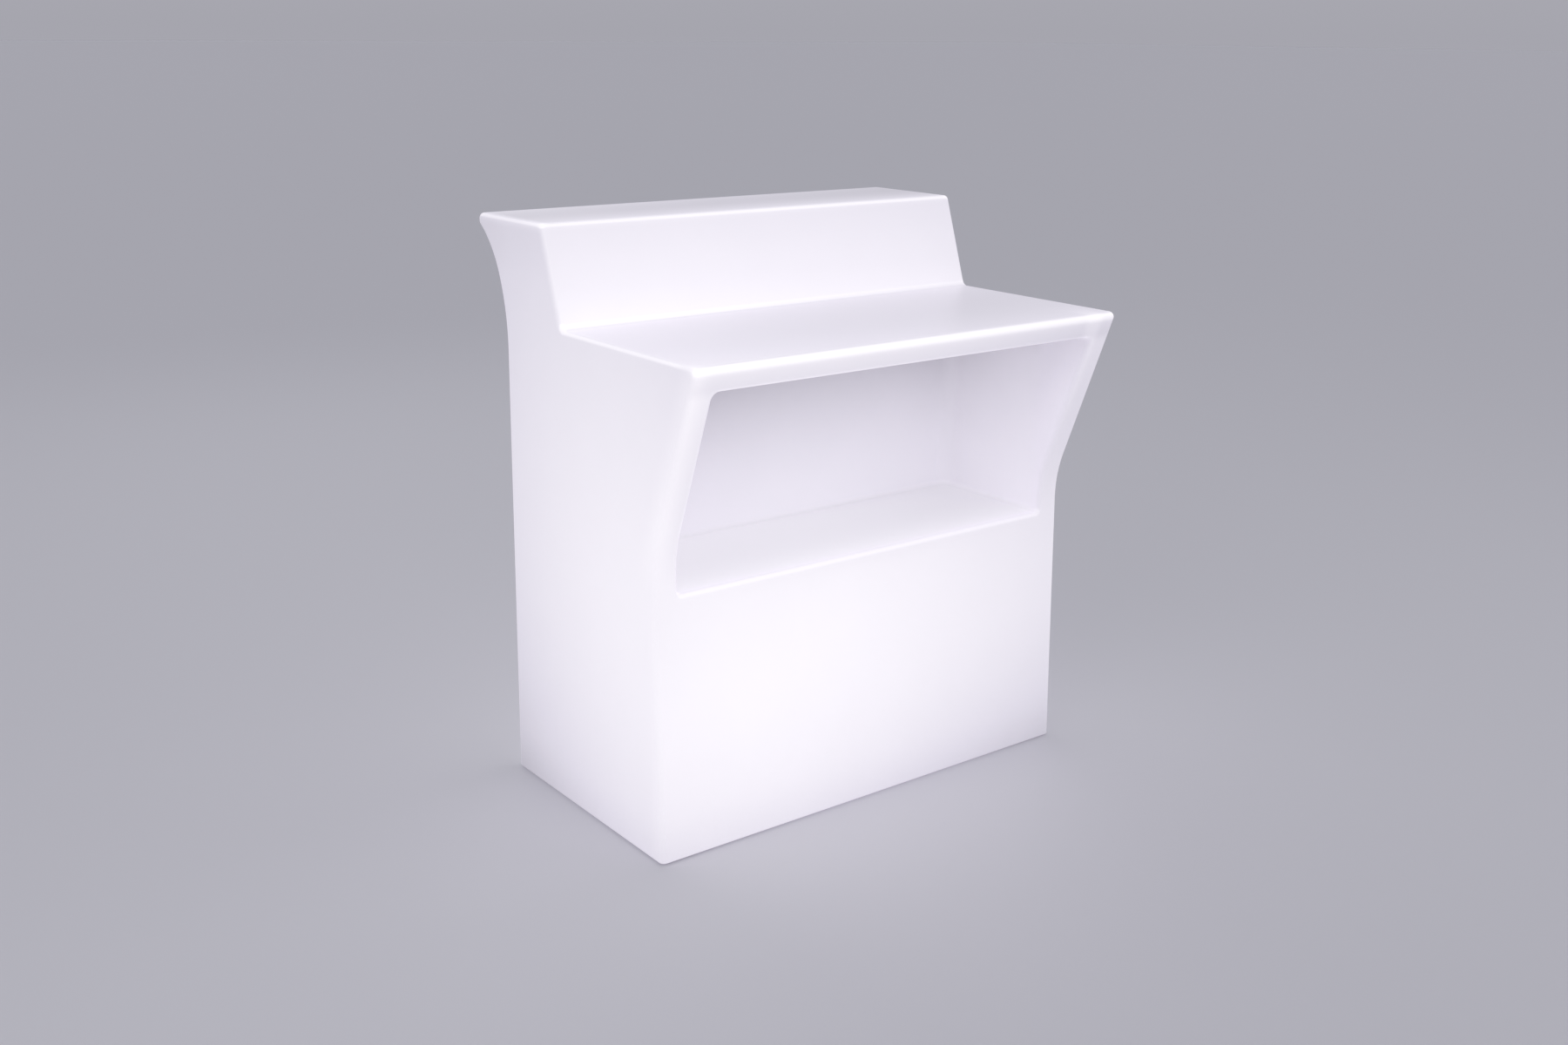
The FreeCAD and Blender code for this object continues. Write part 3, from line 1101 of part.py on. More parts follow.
button_collar = cylinder("button_collar", "button_collar_radius", "button_collar_height", "button_x",
                         BUTTON_Y, "button_collar_under")
subpart(fuse("button_moving", button_stem, button_collar), "power_button")

spring_line = Part.makeHelix(value("spring_pitch"), value("spring_top") - value("spring_under"),
                             value("spring_radius"))
spring_section = Part.Wire([Part.makeCircle(value("spring_wire_radius"),
                                            FreeCAD.Vector(value("spring_radius"), 0, 0),
                                            FreeCAD.Vector(0, 1, 0))])
button_spring = doc.addObject("Part::Feature", "button_spring")
button_spring.Shape = Part.Wire(spring_line.Edges).makePipeShell([spring_section], True, False)
button_spring.Placement = FreeCAD.Placement(
    FreeCAD.Vector(value("button_x"), value("base_centre_y") + value("button_y"), value("spring_under")),
    FreeCAD.Rotation(),
)
subpart(button_spring, "button_spring")

# Status lens beside the button.
LENS_Y = "base_centre_y + lens_y"
lens_stem = cylinder("lens_stem", "lens_radius", "cover_thickness + lens_inside", "lens_x", LENS_Y,
                     "cover_under")
lens_flange = cylinder("lens_flange", "lens_flange_radius", "lens_flange_height", "lens_x", LENS_Y,
                       "cover_under - lens_flange_height")
subpart(fuse("lens_solid", lens_stem, lens_flange), "status_lens")


def lead(label, route):
    """An insulated lead: straight runs joined by arcs, as large as the runs allow."""
    share = value("lead_bend_share")
    points = [FreeCAD.Vector(*point) for point in route]
    for point in points:
        point.y += value("base_centre_y")
    edges = []
    radii = []
    here = points[0]
    for before, corner, after in zip(points, points[1:], points[2:]):
        back = (before - corner).normalize()
        onward = (after - corner).normalize()
        reach = share * min(before.distanceToPoint(corner), corner.distanceToPoint(after))
        half_turn = (math.pi - back.getAngle(onward)) / 2
        radii.append(reach / math.tan(half_turn))
        arc_start = corner + back * reach
        arc_end = corner + onward * reach
        inward = (back + onward).normalize()
        middle = corner + inward * (radii[-1] / math.cos(half_turn) - radii[-1])
        edges.append(Part.LineSegment(here, arc_start).toShape())
        edges.append(Part.Arc(arc_start, middle, arc_end).toShape())
        here = arc_end
    edges.append(Part.LineSegment(here, points[-1]).toShape())
    path = Part.Wire(edges)
    first = (points[1] - points[0]).normalize()
    section = Part.Wire([Part.makeCircle(value("lead_radius"), points[0], first)])
    made = doc.addObject("Part::Feature", label)
    made.Shape = path.makePipeShell([section], True, False)
    plain_volume = math.pi * value("lead_radius") ** 2 * path.Length
    print(label, "bends", [round(radius, 1) for radius in radii], "volume share",
          round(made.Shape.Volume / plain_volume, 4))
    return subpart(made, label)


# Leads inside the housing, each from its source to its plug on the board. Places are counted from the
# lamp's axis and the floor, and the points on the way are chosen by hand.
tray_end = value("tray_length") / 2 - value("tray_offset")
plug_z = value("board_top") + value("plug_height") / 2
board_edge = value("board_shift") - value("board_width") / 2
battery_plug_end = value("battery_plug_x") - value("plug_length") / 2
battery_exit_z = plug_z + value("battery_lead_drop")
battery_route = (
    (tray_end, value("battery_plug_y"), battery_exit_z),
    (tray_end + value("battery_lead_run"), value("battery_plug_y"), battery_exit_z),
    (battery_plug_end - value("battery_lead_run"), value("battery_plug_y"), plug_z),
    (battery_plug_end, value("battery_plug_y"), plug_z),
)
charge_route = (
    (value("socket_x"), value("socket_y"), value("cover_top") + value("socket_length")),
    (value("socket_x"), value("socket_y"), 47),
    (8, -60, 47),
    (36, -58, 38),
    (value("charge_plug_x"), -50, plug_z),
    (value("charge_plug_x"), board_edge, plug_z),
)
button_route = (
    (value("button_x"), value("button_y"), value("cover_top") + value("button_barrel_length")),
    (value("button_x"), value("button_y"), 51),
    (50, -63, 53),
    (value("button_plug_x"), -52, 36),
    (value("button_plug_x"), -38, plug_z),
    (value("button_plug_x"), board_edge, plug_z),
)
lamp_route = (
    (value("lamp_plug_x"), value("lamp_plug_y"), value("board_top") + value("plug_height")),
    (value("lamp_plug_x"), value("lamp_plug_y"), 59),
    (0, 0, 59),
    (0, 0, value("lamp_plate_top") + value("terminal_rise")),
)
lead("battery_lead", battery_route)
lead("charge_lead", charge_route)
lead("button_lead", button_route)
lead("lamp_lead", lamp_route)

doc.recompute()
os.makedirs("parts", exist_ok=True)
broken = [thing.Name for thing in doc.Objects if "Invalid" in thing.State or "Error" in thing.State]
broken += [thing.Label for thing in subparts if thing.Shape.isNull() or not thing.Shape.isValid()]
if broken:
    raise SystemExit("These failed: " + ", ".join(broken))
for thing in subparts:
    thing.Shape.exportStep(os.path.join("parts", thing.Label + ".step"))
print(len(subparts), "sub-parts written")
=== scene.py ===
import json
import math

import bmesh
import bpy
from mathutils import Matrix, Vector


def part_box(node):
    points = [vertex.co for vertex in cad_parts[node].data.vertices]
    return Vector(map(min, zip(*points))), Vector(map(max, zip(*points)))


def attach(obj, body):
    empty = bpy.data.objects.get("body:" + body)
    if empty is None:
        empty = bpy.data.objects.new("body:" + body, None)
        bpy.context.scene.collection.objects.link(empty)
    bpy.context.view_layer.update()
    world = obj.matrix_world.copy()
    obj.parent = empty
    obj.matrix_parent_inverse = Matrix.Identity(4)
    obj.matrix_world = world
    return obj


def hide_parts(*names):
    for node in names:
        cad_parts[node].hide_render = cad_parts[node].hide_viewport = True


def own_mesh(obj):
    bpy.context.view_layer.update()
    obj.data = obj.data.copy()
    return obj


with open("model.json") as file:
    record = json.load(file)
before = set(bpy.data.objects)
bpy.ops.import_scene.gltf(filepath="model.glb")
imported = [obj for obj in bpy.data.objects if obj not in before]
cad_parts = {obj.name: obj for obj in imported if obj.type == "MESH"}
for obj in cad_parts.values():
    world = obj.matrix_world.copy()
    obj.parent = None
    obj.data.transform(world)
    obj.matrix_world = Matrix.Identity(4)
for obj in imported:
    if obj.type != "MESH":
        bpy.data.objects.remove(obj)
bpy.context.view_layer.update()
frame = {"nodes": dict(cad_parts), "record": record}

# Studio: a plain pale floor under a dim, even room, with large soft lamps above and to both sides.
# The counter's skin has a painted glow, so the room stays a little darker than it and that glow falls on the
# floor.
# The camera stands on the staff side, left of the counter, a little above the guest counter.


class Wire:
    """An output of a shader node. Sums on it add Math nodes, so a finish reads as plain formulas."""

    def __init__(self, tree, link=None):
        self.tree = tree
        self.link = link

    def add(self, kind, settings=None, inputs=None, output=0):
        """Add a node: first its settings, then its inputs by name or number. Returns one output."""
        node = self.tree.nodes.new(kind)
        for name, setting in (settings or {}).items():
            if name == "stops":
                for spot, (place, shade) in enumerate(setting):
                    if spot > 1:
                        node.color_ramp.elements.new(place)
                    node.color_ramp.elements[spot].position = place
                    node.color_ramp.elements[spot].color = shade
            else:
                setattr(node, name, setting)
        for name, given in (inputs or {}).items():
            if isinstance(given, Wire):
                self.tree.links.new(given.link, node.inputs[name])
            else:
                node.inputs[name].default_value = given
        return Wire(self.tree, node.outputs[output])

    def mix(self, share, first, second):
        """A colour between two others. A Mix node has its colours on inputs 6 and 7 and on output 2."""
        return self.add("ShaderNodeMix", {"data_type": "RGBA"}, {0: share, 6: first, 7: second}, 2)

    def place(self):
        """Where a point of the surface lies, in metres."""
        return self.add("ShaderNodeTexCoord", None, None, "Object")

    def grain(self, place, scale, detail=2.0):
        """An uneven pattern from 0 to 1, with about this many grains to the metre."""
        return self.add("ShaderNodeTexNoise", None, {"Vector": place, "Scale": scale, "Detail": detail})

    def relief(self, height, strength, depth):
        """A surface turned by the slopes of this height."""
        return self.add("ShaderNodeBump", None, {"Strength": strength, "Distance": depth, "Height": height})

    def sum(self, operation, first, second=0.0):
        return self.add("ShaderNodeMath", {"operation": operation}, {0: first, 1: second})

    def __add__(self, other):
        return self.sum("ADD", self, other)

    __radd__ = __add__

    def __sub__(self, other):
        return self.sum("SUBTRACT", self, other)

    def __rsub__(self, other):
        return self.sum("SUBTRACT", other, self)

    def __mul__(self, other):
        return self.sum("MULTIPLY", self, other)

    __rmul__ = __mul__

    def __abs__(self):
        return self.sum("ABSOLUTE", self)


def new_finish(name):
    """A new material and an empty wire in its node tree."""
    material = bpy.data.materials.new(name)
    material.use_nodes = True
    return material, Wire(material.node_tree)


def apply_finish(material, inputs):
    """Set or feed the inputs of the material's surface shader."""
    shader = material.node_tree.nodes["Principled BSDF"]
    for name, given in inputs.items():
        if isinstance(given, Wire):
            material.node_tree.links.new(given.link, shader.inputs[name])
        else:
            shader.inputs[name].default_value = given
    return material


def new_piece(name, mesh, material):
    """An object in the scene with this mesh and finish."""
    piece = bpy.data.objects.new(name, mesh)
    bpy.context.scene.collection.objects.link(piece)
    mesh.materials.clear()
    mesh.materials.append(material)
    return piece


FLOOR_HALF = 150.0
FLOOR_SHADE = (0.78, 0.775, 0.81, 1)
ROOM_SHADE = (0.47, 0.47, 0.51, 1)
HORIZON_SHADE = (0.381, 0.378, 0.423, 1)
HORIZON_RISE = 5.0

floor_mesh = bpy.data.meshes.new("floor")
floor_mesh.from_pydata(
    [(x * FLOOR_HALF, y * FLOOR_HALF, 0) for x, y in ((-1, -1), (1, -1), (1, 1), (-1, 1))], [], [(0, 1, 2, 3)]
)
floor_finish, wire = new_finish("pale matt floor")
floor_grain = wire.add("ShaderNodeTexNoise", None, {"Scale": 3.0, "Detail": 6.0})
apply_finish(floor_finish, {"Base Color": FLOOR_SHADE, "Roughness": 0.55 + 0.1 * floor_grain})
floor = new_piece("floor", floor_mesh, floor_finish)

room = bpy.data.worlds.new("soft room")
room.use_nodes = True
wire = Wire(room.node_tree)
sight = wire.add("ShaderNodeSeparateXYZ", None, {0: wire.add("ShaderNodeTexCoord")}, "Z")
backdrop = wire.mix(HORIZON_RISE * sight, HORIZON_SHADE, ROOM_SHADE)
room.node_tree.links.new(backdrop.link, room.node_tree.nodes["Background"].inputs["Color"])
bpy.context.scene.world = room
bpy.context.scene.view_settings.view_transform = "Standard"

# Soft lamps: (name, place, side length, watts). Each one faces the middle of the counter.
SOFT_LAMPS = (
    ("lamp_left", (-3.2, -1.6, 3.0), 2.2, 13),
    ("lamp_right", (3.0, -2.4, 2.6), 2.2, 7),
    ("lamp_back", (0.5, 3.4, 3.0), 2.4, 8),
)
LOOK_AT = Vector((0, 0, 0.55))
for name, place, side, watts in SOFT_LAMPS:
    lamp = bpy.data.lights.new(name, "AREA")
    lamp.size = side
    lamp.energy = watts
    stand = bpy.data.objects.new(name, lamp)
    stand.location = place
    stand.rotation_euler = (LOOK_AT - Vector(place)).to_track_quat("-Z", "Y").to_euler()
    bpy.context.scene.collection.objects.link(stand)

CAMERA_PLACE = (-1.9204, -2.4721, 1.4335)
CAMERA_TURN = math.radians(-37.34)
CAMERA_TILT = math.radians(90 - 16.675)
CAMERA_ROLL = math.radians(0.474)
SENSOR_WIDTH = 36.0
FOCAL_LENGTH = 37.88
camera_data = bpy.data.cameras.new("camera")
camera_data.sensor_fit = "HORIZONTAL"
camera_data.sensor_width = SENSOR_WIDTH
camera_data.lens = FOCAL_LENGTH
camera = bpy.data.objects.new("camera", camera_data)
camera.matrix_world = (
    Matrix.Translation(CAMERA_PLACE)
    @ Matrix.Rotation(CAMERA_TURN, 4, "Z")
    @ Matrix.Rotation(CAMERA_TILT, 4, "X")
    @ Matrix.Rotation(CAMERA_ROLL, 4, "Z")
)
bpy.context.scene.collection.objects.link(camera)
bpy.context.scene.camera = camera

# Shell: one rotationally moulded skin of translucent white polyethylene, satin and seamless.
# The lamp stands in its middle. Its light through the skin is painted into the skin's emission: brightest low
# on the staff side and at the foot of the riser, and least on the guest counter and deep in the niche, which
# the niche's walls keep from it.
SHELL_SHADE = (0.60, 0.583, 0.624, 1)
SHELL_PALE = (0.636, 0.618, 0.66, 1)
MOUNTS = {mount["name"]: mount["pos_m"] for mount in frame["record"]["mounts"]}
WORKTOP_Z = MOUNTS["worktop"][2]
GUEST_TOP_Z = MOUNTS["guest_counter"][2]
SHELF_Z = MOUNTS["niche_shelf"][2]
END_X = MOUNTS["right_end"][0]
STAFF_EDGE_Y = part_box("body_shell")[0].y
RISER_TOP_Y = 0.122
NICHE_ROOF_Z = 0.87
NICHE_END_X = 0.45
RIM_FOOT_Y = -0.3613
RIM_SLANT = math.tan(math.radians(20.61))
# Colours of the skin's painted glow from dark to bright, and a plain grey ramp of the same brightness.
GLOW_SHADES = (
    (0.0, (0, 0, 0, 1)),
    (0.39, (0.408, 0.391, 0.433, 1)),
    (0.66, (0.68, 0.659, 0.674, 1)),
    (0.74, (0.75, 0.74, 0.718, 1)),
    (1.0, (1, 1, 0.98, 1)),
)
PLAIN_SHADES = ((0.0, (0, 0, 0, 1)), (1.0, (1, 1, 1, 1)))


def curve(way, bends):
    """0 where the way is 0, then rising by the first bend, turned by the second and the third."""
    height = 0.0
    for bend in reversed(bends):
        height = (height + bend) * way
    return height


def face_glow(across, along, level, across_bends, along_bends, twist=0.0):
    """How bright a face's painted glow is: a level, with a curve along each of its two ways and a twist."""
    return level + curve(across, across_bends) + curve(along, along_bends) + twist * across * along


def rise(value, low, high):
    """0 below low, 1 above high, smooth in between."""
    return value.add(
        "ShaderNodeMapRange",
        {"interpolation_type": "SMOOTHSTEP"},
        {"Value": value, "From Min": low, "From Max": high},
    )


def fall(value, low, high):
    """1 below low, 0 above high, smooth in between."""
    return 1 - rise(value, low, high)


def blend(share, without, with_it):
    """One glow where the share is 0, the other where it is 1."""
    return without + share * (with_it - without)


def toward(facing):
    """How much the skin faces one way: 1 for a face that is square to it, less over a bend."""
    return rise(facing, 0.0, 0.01) * facing * facing


shell_finish, wire = new_finish("translucent white polyethylene")
place = wire.place()
facing = wire.add("ShaderNodeTexCoord", None, None, "Normal")
x, y, z = [wire.add("ShaderNodeSeparateXYZ", None, {0: place}, axis) for axis in "XYZ"]
face_x, face_y, face_z = [wire.add("ShaderNodeSeparateXYZ", None, {0: facing}, axis) for axis in "XYZ"]

# Painted glow of the upright faces: the staff side, the niche's slanted rim, back and ends, the riser, both
# ends of the counter, and the guest side.
front_glow = face_glow(x, z, 0.441, (-0.26, -0.29, 0.28), (1.16, -2.1, 0.77), 0.17)
riser_glow = face_glow(x, z - WORKTOP_Z, 0.584, (-0.09, -0.07), (-1.08, 8.72, -35.9), 0.14)
top_rim_glow = face_glow(x, z - NICHE_ROOF_Z, 0.449, (-0.15, -0.17), (0.5, 40.0))
side_rim_glow = face_glow(x, z - NICHE_ROOF_Z, 0.489, (-0.14,), (0.35, 1.33))
niche_back_glow = face_glow(x, z - SHELF_Z, 0.411, (-0.04, -0.5), (0.27, -3.73), 0.39)
beside_niche = rise(z, SHELF_Z - 0.048, SHELF_Z + 0.032)
above_niche = rise(z, NICHE_ROOF_Z - 0.01, NICHE_ROOF_Z + 0.012)
above_roof = rise(z, NICHE_ROOF_Z, WORKTOP_Z - 0.01)
behind_mouth = rise(y, -0.12, -0.08)
rim_glow = blend(above_niche, side_rim_glow, top_rim_glow)
staff_glow = blend(
    behind_mouth,
    blend(beside_niche, front_glow, rim_glow),
    blend(above_roof, niche_back_glow, riser_glow),
)
end_glow = face_glow(y, z, 0.361, (-0.43, -0.48, 0.08), (0.85, -1.2, 0.43), 0.32)
niche_end_glow = face_glow(y, z - SHELF_Z, 0.3, (-0.56, -0.72), (0.16, -1.89), 0.06)
outside_niche = rise(abs(x), NICHE_END_X, NICHE_END_X + 0.015)
side_glow = blend(outside_niche, niche_end_glow, end_glow)
guest_glow = face_glow(x, z, 0.5, (-0.08, -0.3), (0.55, -0.62))

# Painted glow of the level faces: the shelf, the worktop and the guest counter above, the underside and the
# slants below.
worktop_glow = face_glow(x, y, 0.315, (-0.1, 0.18), (0.22, 0.69, -1.5), -0.09)
guest_top_glow = face_glow(x, y - RISER_TOP_Y, 0.404, (0.0, -0.12), (-2.11, 7.18), -0.21)
shelf_glow = face_glow(x, y, 0.347, (-0.1, -0.21), (-0.36, -4.32, -24.1), -0.15)
above_shelf = rise(z, 0.6, 0.8)
above_worktop = rise(z, 0.95, 1.0)
up_glow = blend(above_worktop, blend(above_shelf, shelf_glow, worktop_glow), guest_top_glow)
base_glow = face_glow(x, y, 0.35, (0.0, -0.45), (0.0, -0.4))
above_base = rise(z, 0.1, 0.3)
guest_side = rise(y, 0.05, 0.08)
down_glow = blend(above_base, base_glow, blend(guest_side, staff_glow, guest_glow))

# Painted light and shade over each face's painted glow, in strips where the skin bends or lies nearer the
# lamp or further from it. Painted highlights run along the rounded upper edges, the lip, the riser's top and
# the counter's ends, with brighter painted strips beside the rim, on the ends beside the staff side, on the
# worktop before the riser and in the niche's inner corners; painted shade lies in the hollow at the riser's
# foot, below the ends' tops, near the ground and under the niche's roof.
toward_staff = toward(-1.0 * face_y)
upward = toward(face_z)
on_end = face_x * face_x
behind_edge = y - STAFF_EDGE_Y
behind_rim = y - (RIM_FOOT_Y + RIM_SLANT * (WORKTOP_Z - z))
between_ends = fall(abs(x), 0.452, 0.47)
in_niche = rise(y, -0.225, -0.2) * fall(z, NICHE_ROOF_Z, 0.9)
upper_bend = face_z * (abs(face_x) + rise(-1.0 * face_y, 0.0, 0.05) * abs(face_y))
upper_edge = rise(upper_bend, 0.33, 0.47)
shelf_edge = fall(z, 0.52, 0.56)
over_lip = fall(behind_edge, 0.0175, 0.0575) * rise(z, 0.9, 0.915)
lip = fall(behind_edge, 0.0015, 0.0085) * rise(z, 0.9, 0.912)
lip_top = over_lip * fall(behind_edge, 0.0095, 0.0195)
at_worktop = rise(z, 0.89, 0.9) * fall(z, 0.93, 0.95)
worktop_end = at_worktop * rise(abs(x), END_X - 0.0205, END_X - 0.0045) * upward
before_riser = at_worktop * rise(y, 0.035, 0.061) * upward
hollow_height = rise(z, WORKTOP_Z + 0.0008, WORKTOP_Z + 0.003) * fall(z, 0.96, 1.0)
hollow = hollow_height * rise(y, 0.0, 0.02) * rise(face_z - abs(face_x), 0.0, 0.1)
riser_foot = fall(z, WORKTOP_Z + 0.002, WORKTOP_Z + 0.013)
below_riser_top = rise(z, GUEST_TOP_Z - 0.016, GUEST_TOP_Z - 0.004) * toward_staff
at_guest_top = rise(z, GUEST_TOP_Z - 0.05, GUEST_TOP_Z - 0.01)
behind_riser_top = at_guest_top * fall(y, RISER_TOP_Y + 0.002, RISER_TOP_Y + 0.016) * upward
guest_top_end = at_guest_top * rise(abs(x), END_X - 0.0245, END_X - 0.0045) * upward
end_top = on_end * rise(z, GUEST_TOP_Z - 0.018, GUEST_TOP_Z - 0.004)
end_below_top = on_end * rise(z, GUEST_TOP_Z - 0.12, GUEST_TOP_Z - 0.03)
beside_rim = fall(behind_rim, 0.0, 0.05) * rise(-1.0 * x, 0.445, 0.487) * rise(z, 0.48, 0.64)
right_wall = rise(x, 0.4, 0.425) * fall(x, 0.44, 0.46)
inside_rim = fall(behind_rim, 0.0, 0.09) * right_wall * rise(z, 0.62, 0.8)
by_staff_face = on_end * fall(y, -0.25, -0.2) * fall(z, 0.35, 0.6)
ground = fall(z, 0.0, 0.1)
shelf_foot = rise(face_z, 0.0, 0.05) * face_z * (abs(face_x) + abs(face_y))
niche_corner = abs(face_x * face_y)
under_roof = between_ends * rise(z, 0.81, 0.86) * rise(-1.0 * y, 0.0, 0.1)
faces = (
    toward_staff * staff_glow
    + toward(face_y) * guest_glow
    + on_end * side_glow
    + upward * up_glow
    + toward(-1.0 * face_z) * down_glow
)
# Painted highlights add to the glow and painted shade takes from it, strip by strip.
painted_bands = (
    0.13 * upper_edge * (1 - in_niche) * (1 - 0.6 * over_lip) * (1 - 0.45 * shelf_edge)
    + 0.165 * lip
    + 0.025 * lip_top
    + 0.04 * worktop_end
    + 0.04 * before_riser * (1 - hollow)
    - (0.12 + 0.06 * x) * hollow * riser_foot
    + 0.04 * below_riser_top
    + 0.12 * behind_riser_top
    + 0.1 * guest_top_end
    + 0.05 * end_top
    - 0.022 * end_below_top
    + (0.075 - 0.03 * on_end) * beside_rim
    + 0.06 * inside_rim
    + 0.03 * by_staff_face
    - 0.03 * ground
    + in_niche * (0.08 * shelf_foot + 0.068 * niche_corner - 0.06 * under_roof)
)

# The hollow bend at the riser's foot is painted with the riser's glow.
glow = blend(hollow, faces, riser_glow) + painted_bands

# The skin's own unevenness: a slow change of its wall, a fine satin grain, and marks from hands.
wall = wire.grain(place, 5.0, 3.0)
skin = wire.grain(place, 420.0, 3.0)
touch = wire.grain(place, 14.0, 6.0)
uneven_glow = glow * (0.988 + 0.024 * wall + 0.006 * skin)
# The painted glow's colour: violet on most of the skin, plainer inside the niche and most of all on the
# niche's floor.
violet_shade = wire.add("ShaderNodeValToRGB", {"stops": GLOW_SHADES}, {0: uneven_glow})
plain_shade = wire.add("ShaderNodeValToRGB", {"stops": PLAIN_SHADES}, {0: uneven_glow})
plain = in_niche * between_ends * (0.2 + 0.65 * upward)
apply_finish(shell_finish, {
    "Base Color": wire.mix(touch, SHELL_SHADE, SHELL_PALE),
    "Roughness": 0.33 + 0.07 * touch + 0.03 * skin,
    "Emission Color": wire.mix(plain, violet_shade, plain_shade),
    "Emission Strength": 1.0,
    "Normal": wire.relief(skin, 0.05, 0.0003),
})


def dress(node, material):
    """Give a node of the frame its finish."""
    frame["nodes"][node].data.materials.clear()
    frame["nodes"][node].data.materials.append(material)


dress("body_shell", shell_finish)

# Levelling feet: a round nylon foot with a hexagon grip, moulded on a threaded steel stud, with a
# rubber sole that keeps it from sliding. A lock nut above the grip holds the height that is set.
MM = 0.001
HEXAGON_TURN = math.pi / 3
FOOT_X = 413.5
FRONT_FOOT_Y = -171.5
REAR_FOOT_Y = 206.0
FEET = {
    "front_left": (-FOOT_X, FRONT_FOOT_Y),
    "front_right": (FOOT_X, FRONT_FOOT_Y),
    "rear_left": (-FOOT_X, REAR_FOOT_Y),
    "rear_right": (FOOT_X, REAR_FOOT_Y),
}
GRIP_WIDTH = 24
LOCKNUT_WIDTH = 17
STUD_RADIUS = 5.0
STUD_FOOT = 6.0
STUD_TOP = 43.3
STUD_TIP_RINGS = 5
THREAD_PITCH = 1.5
THREAD_DEPTH = 0.85
THREAD_STEEPNESS = 2.3
THREAD_RINGS = 8
THREAD_STEPS = 36
ROUND_STEPS = 96
SHARP_TURN = math.radians(32)


def turned(name, outline, shape=None, spots=((0, 0),), steps=ROUND_STEPS):
    """A mesh of rings about an upright axis from (radius, height) pairs in millimetres, one at each spot.

    A radius of 0 ends the outline in a point. An outline with no such end closes on itself, as a tube.
    shape(radius, height, angle) gives the ring another outline, such as a hexagon or a thread.
    """
    body = bmesh.new()
    for spot_x, spot_y in spots:
        rings = []
        for radius, height in outline:
            count = steps if radius else 1
            ring = []
            for step in range(count):
                angle = 2 * math.pi * step / count
                reach = shape(radius, height, angle) if shape and radius else radius
                point = (spot_x + reach * math.cos(angle), spot_y + reach * math.sin(angle), height)
                ring.append(body.verts.new([length * MM for length in point]))
            rings.append(ring)
        closing = rings[:1] if outline[0][0] else []
        for low, high in zip(rings, rings[1:] + closing):
            for step in range(steps):
                corners = [
                    low[step % len(low)],
                    low[(step + 1) % len(low)],
                    high[(step + 1) % len(high)],
                    high[step % len(high)],
                ]
                body.faces.new(list(dict.fromkeys(corners)))
    bmesh.ops.recalc_face_normals(body, faces=body.faces)
    mesh = bpy.data.meshes.new(name)
    body.to_mesh(mesh)
    body.free()
    mesh.shade_smooth()
    mesh.set_sharp_from_angle(angle=SHARP_TURN)
    return mesh


def hexagon(width, above=-1.0, beyond=0.0):
    """A ring cut to a hexagon of this width across its flats, above one height and beyond one radius."""

    def cut(radius, height, angle):
        if height < above or radius < beyond:
            return radius
        return min(radius, width / 2 / math.cos(angle % HEXAGON_TURN - HEXAGON_TURN / 2))

    return cut


def thread(radius, height, angle):
    """A ring of a V thread, whose groove climbs by one pitch a turn."""
    phase = (height / THREAD_PITCH - angle / (2 * math.pi)) % 1
    groove = THREAD_DEPTH * max(0.0, 1 - abs(phase - 0.5) * THREAD_STEEPNESS)
    return min(radius, STUD_RADIUS - groove)


PATCH_SHARE = 0.06
GLOSS_SPREAD = 0.16
GRAIN_DEPTH = 0.0002


def worn(name, shade, roughness, grain, metallic=0.0, relief=0.15, spread=0.12):
    """A finish with a fine grain in its relief and broader patches in its gloss, and both in its colour."""
    material, wire = new_finish(name)
    place = wire.place()
    fine = wire.grain(place, grain, 4.0)
    broad = wire.grain(place, grain * PATCH_SHARE, 3.0)
    dark = tuple(part * (1 - spread) for part in shade) + (1,)
    light = tuple(min(1.0, part * (1 + spread)) for part in shade) + (1,)
    return apply_finish(material, {
        "Base Color": wire.mix(0.5 * fine + 0.5 * broad, dark, light),
        "Roughness": roughness + GLOSS_SPREAD * (broad - 0.5),
        "Metallic": metallic,
        "Normal": wire.relief(fine, relief, GRAIN_DEPTH),
    })


def fit(piece_name, mesh, material, body, slot, *nodes):
    """Put a finished piece on its body, in place of these nodes."""
    piece = new_piece(piece_name, mesh, material)
    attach(piece, body)
    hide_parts(*nodes)
    return piece


nylon_finish = worn("black moulded nylon", (0.025, 0.025, 0.027), 0.48, 900.0, relief=0.3)
rubber_finish = worn("black rubber", (0.03, 0.029, 0.028), 0.78, 700.0, relief=0.5)
zinc_finish = worn("zinc plated steel", (0.60, 0.61, 0.62), 0.32, 260.0, 1.0, relief=0.1)
sole_outline = (
    (0, 0.7), (3.0, 0.7), (3.5, 0), (6.5, 0), (7.0, 0.7), (8.2, 0.7), (8.7, 0), (12.0, 0), (12.5, 0.7),
    (13.7, 0.7), (14.2, 0), (18.7, 0), (19.6, 0.35), (20.0, 1.1), (20.0, 2.6), (19.7, 3.0), (0, 3.0),
)
base_outline = (
    (0, 3.0), (20.6, 3.0), (21.6, 3.3), (22.0, 4.0), (22.0, 6.6), (21.7, 7.4), (20.9, 7.9), (19.8, 8.0),
    (14.6, 8.0), (14.1, 8.15), (13.87, 8.6), (13.87, 13.9), (13.3, 14.5), (12.2, 14.95), (11.6, 15.0),
    (5.5, 15.0), (5.1, 14.6), (5.1, 6.0), (0, 6.0),
)
ring_step = THREAD_PITCH / THREAD_RINGS
stud_rings = round((STUD_TOP - STUD_FOOT) / ring_step) - STUD_TIP_RINGS
stud_outline = (
    [(0, STUD_FOOT)]
    + [(STUD_RADIUS, STUD_FOOT + step * ring_step) for step in range(stud_rings)]
    + [(STUD_RADIUS - 0.4, STUD_TOP - 0.7), (STUD_RADIUS - 0.9, STUD_TOP), (0, STUD_TOP)]
)
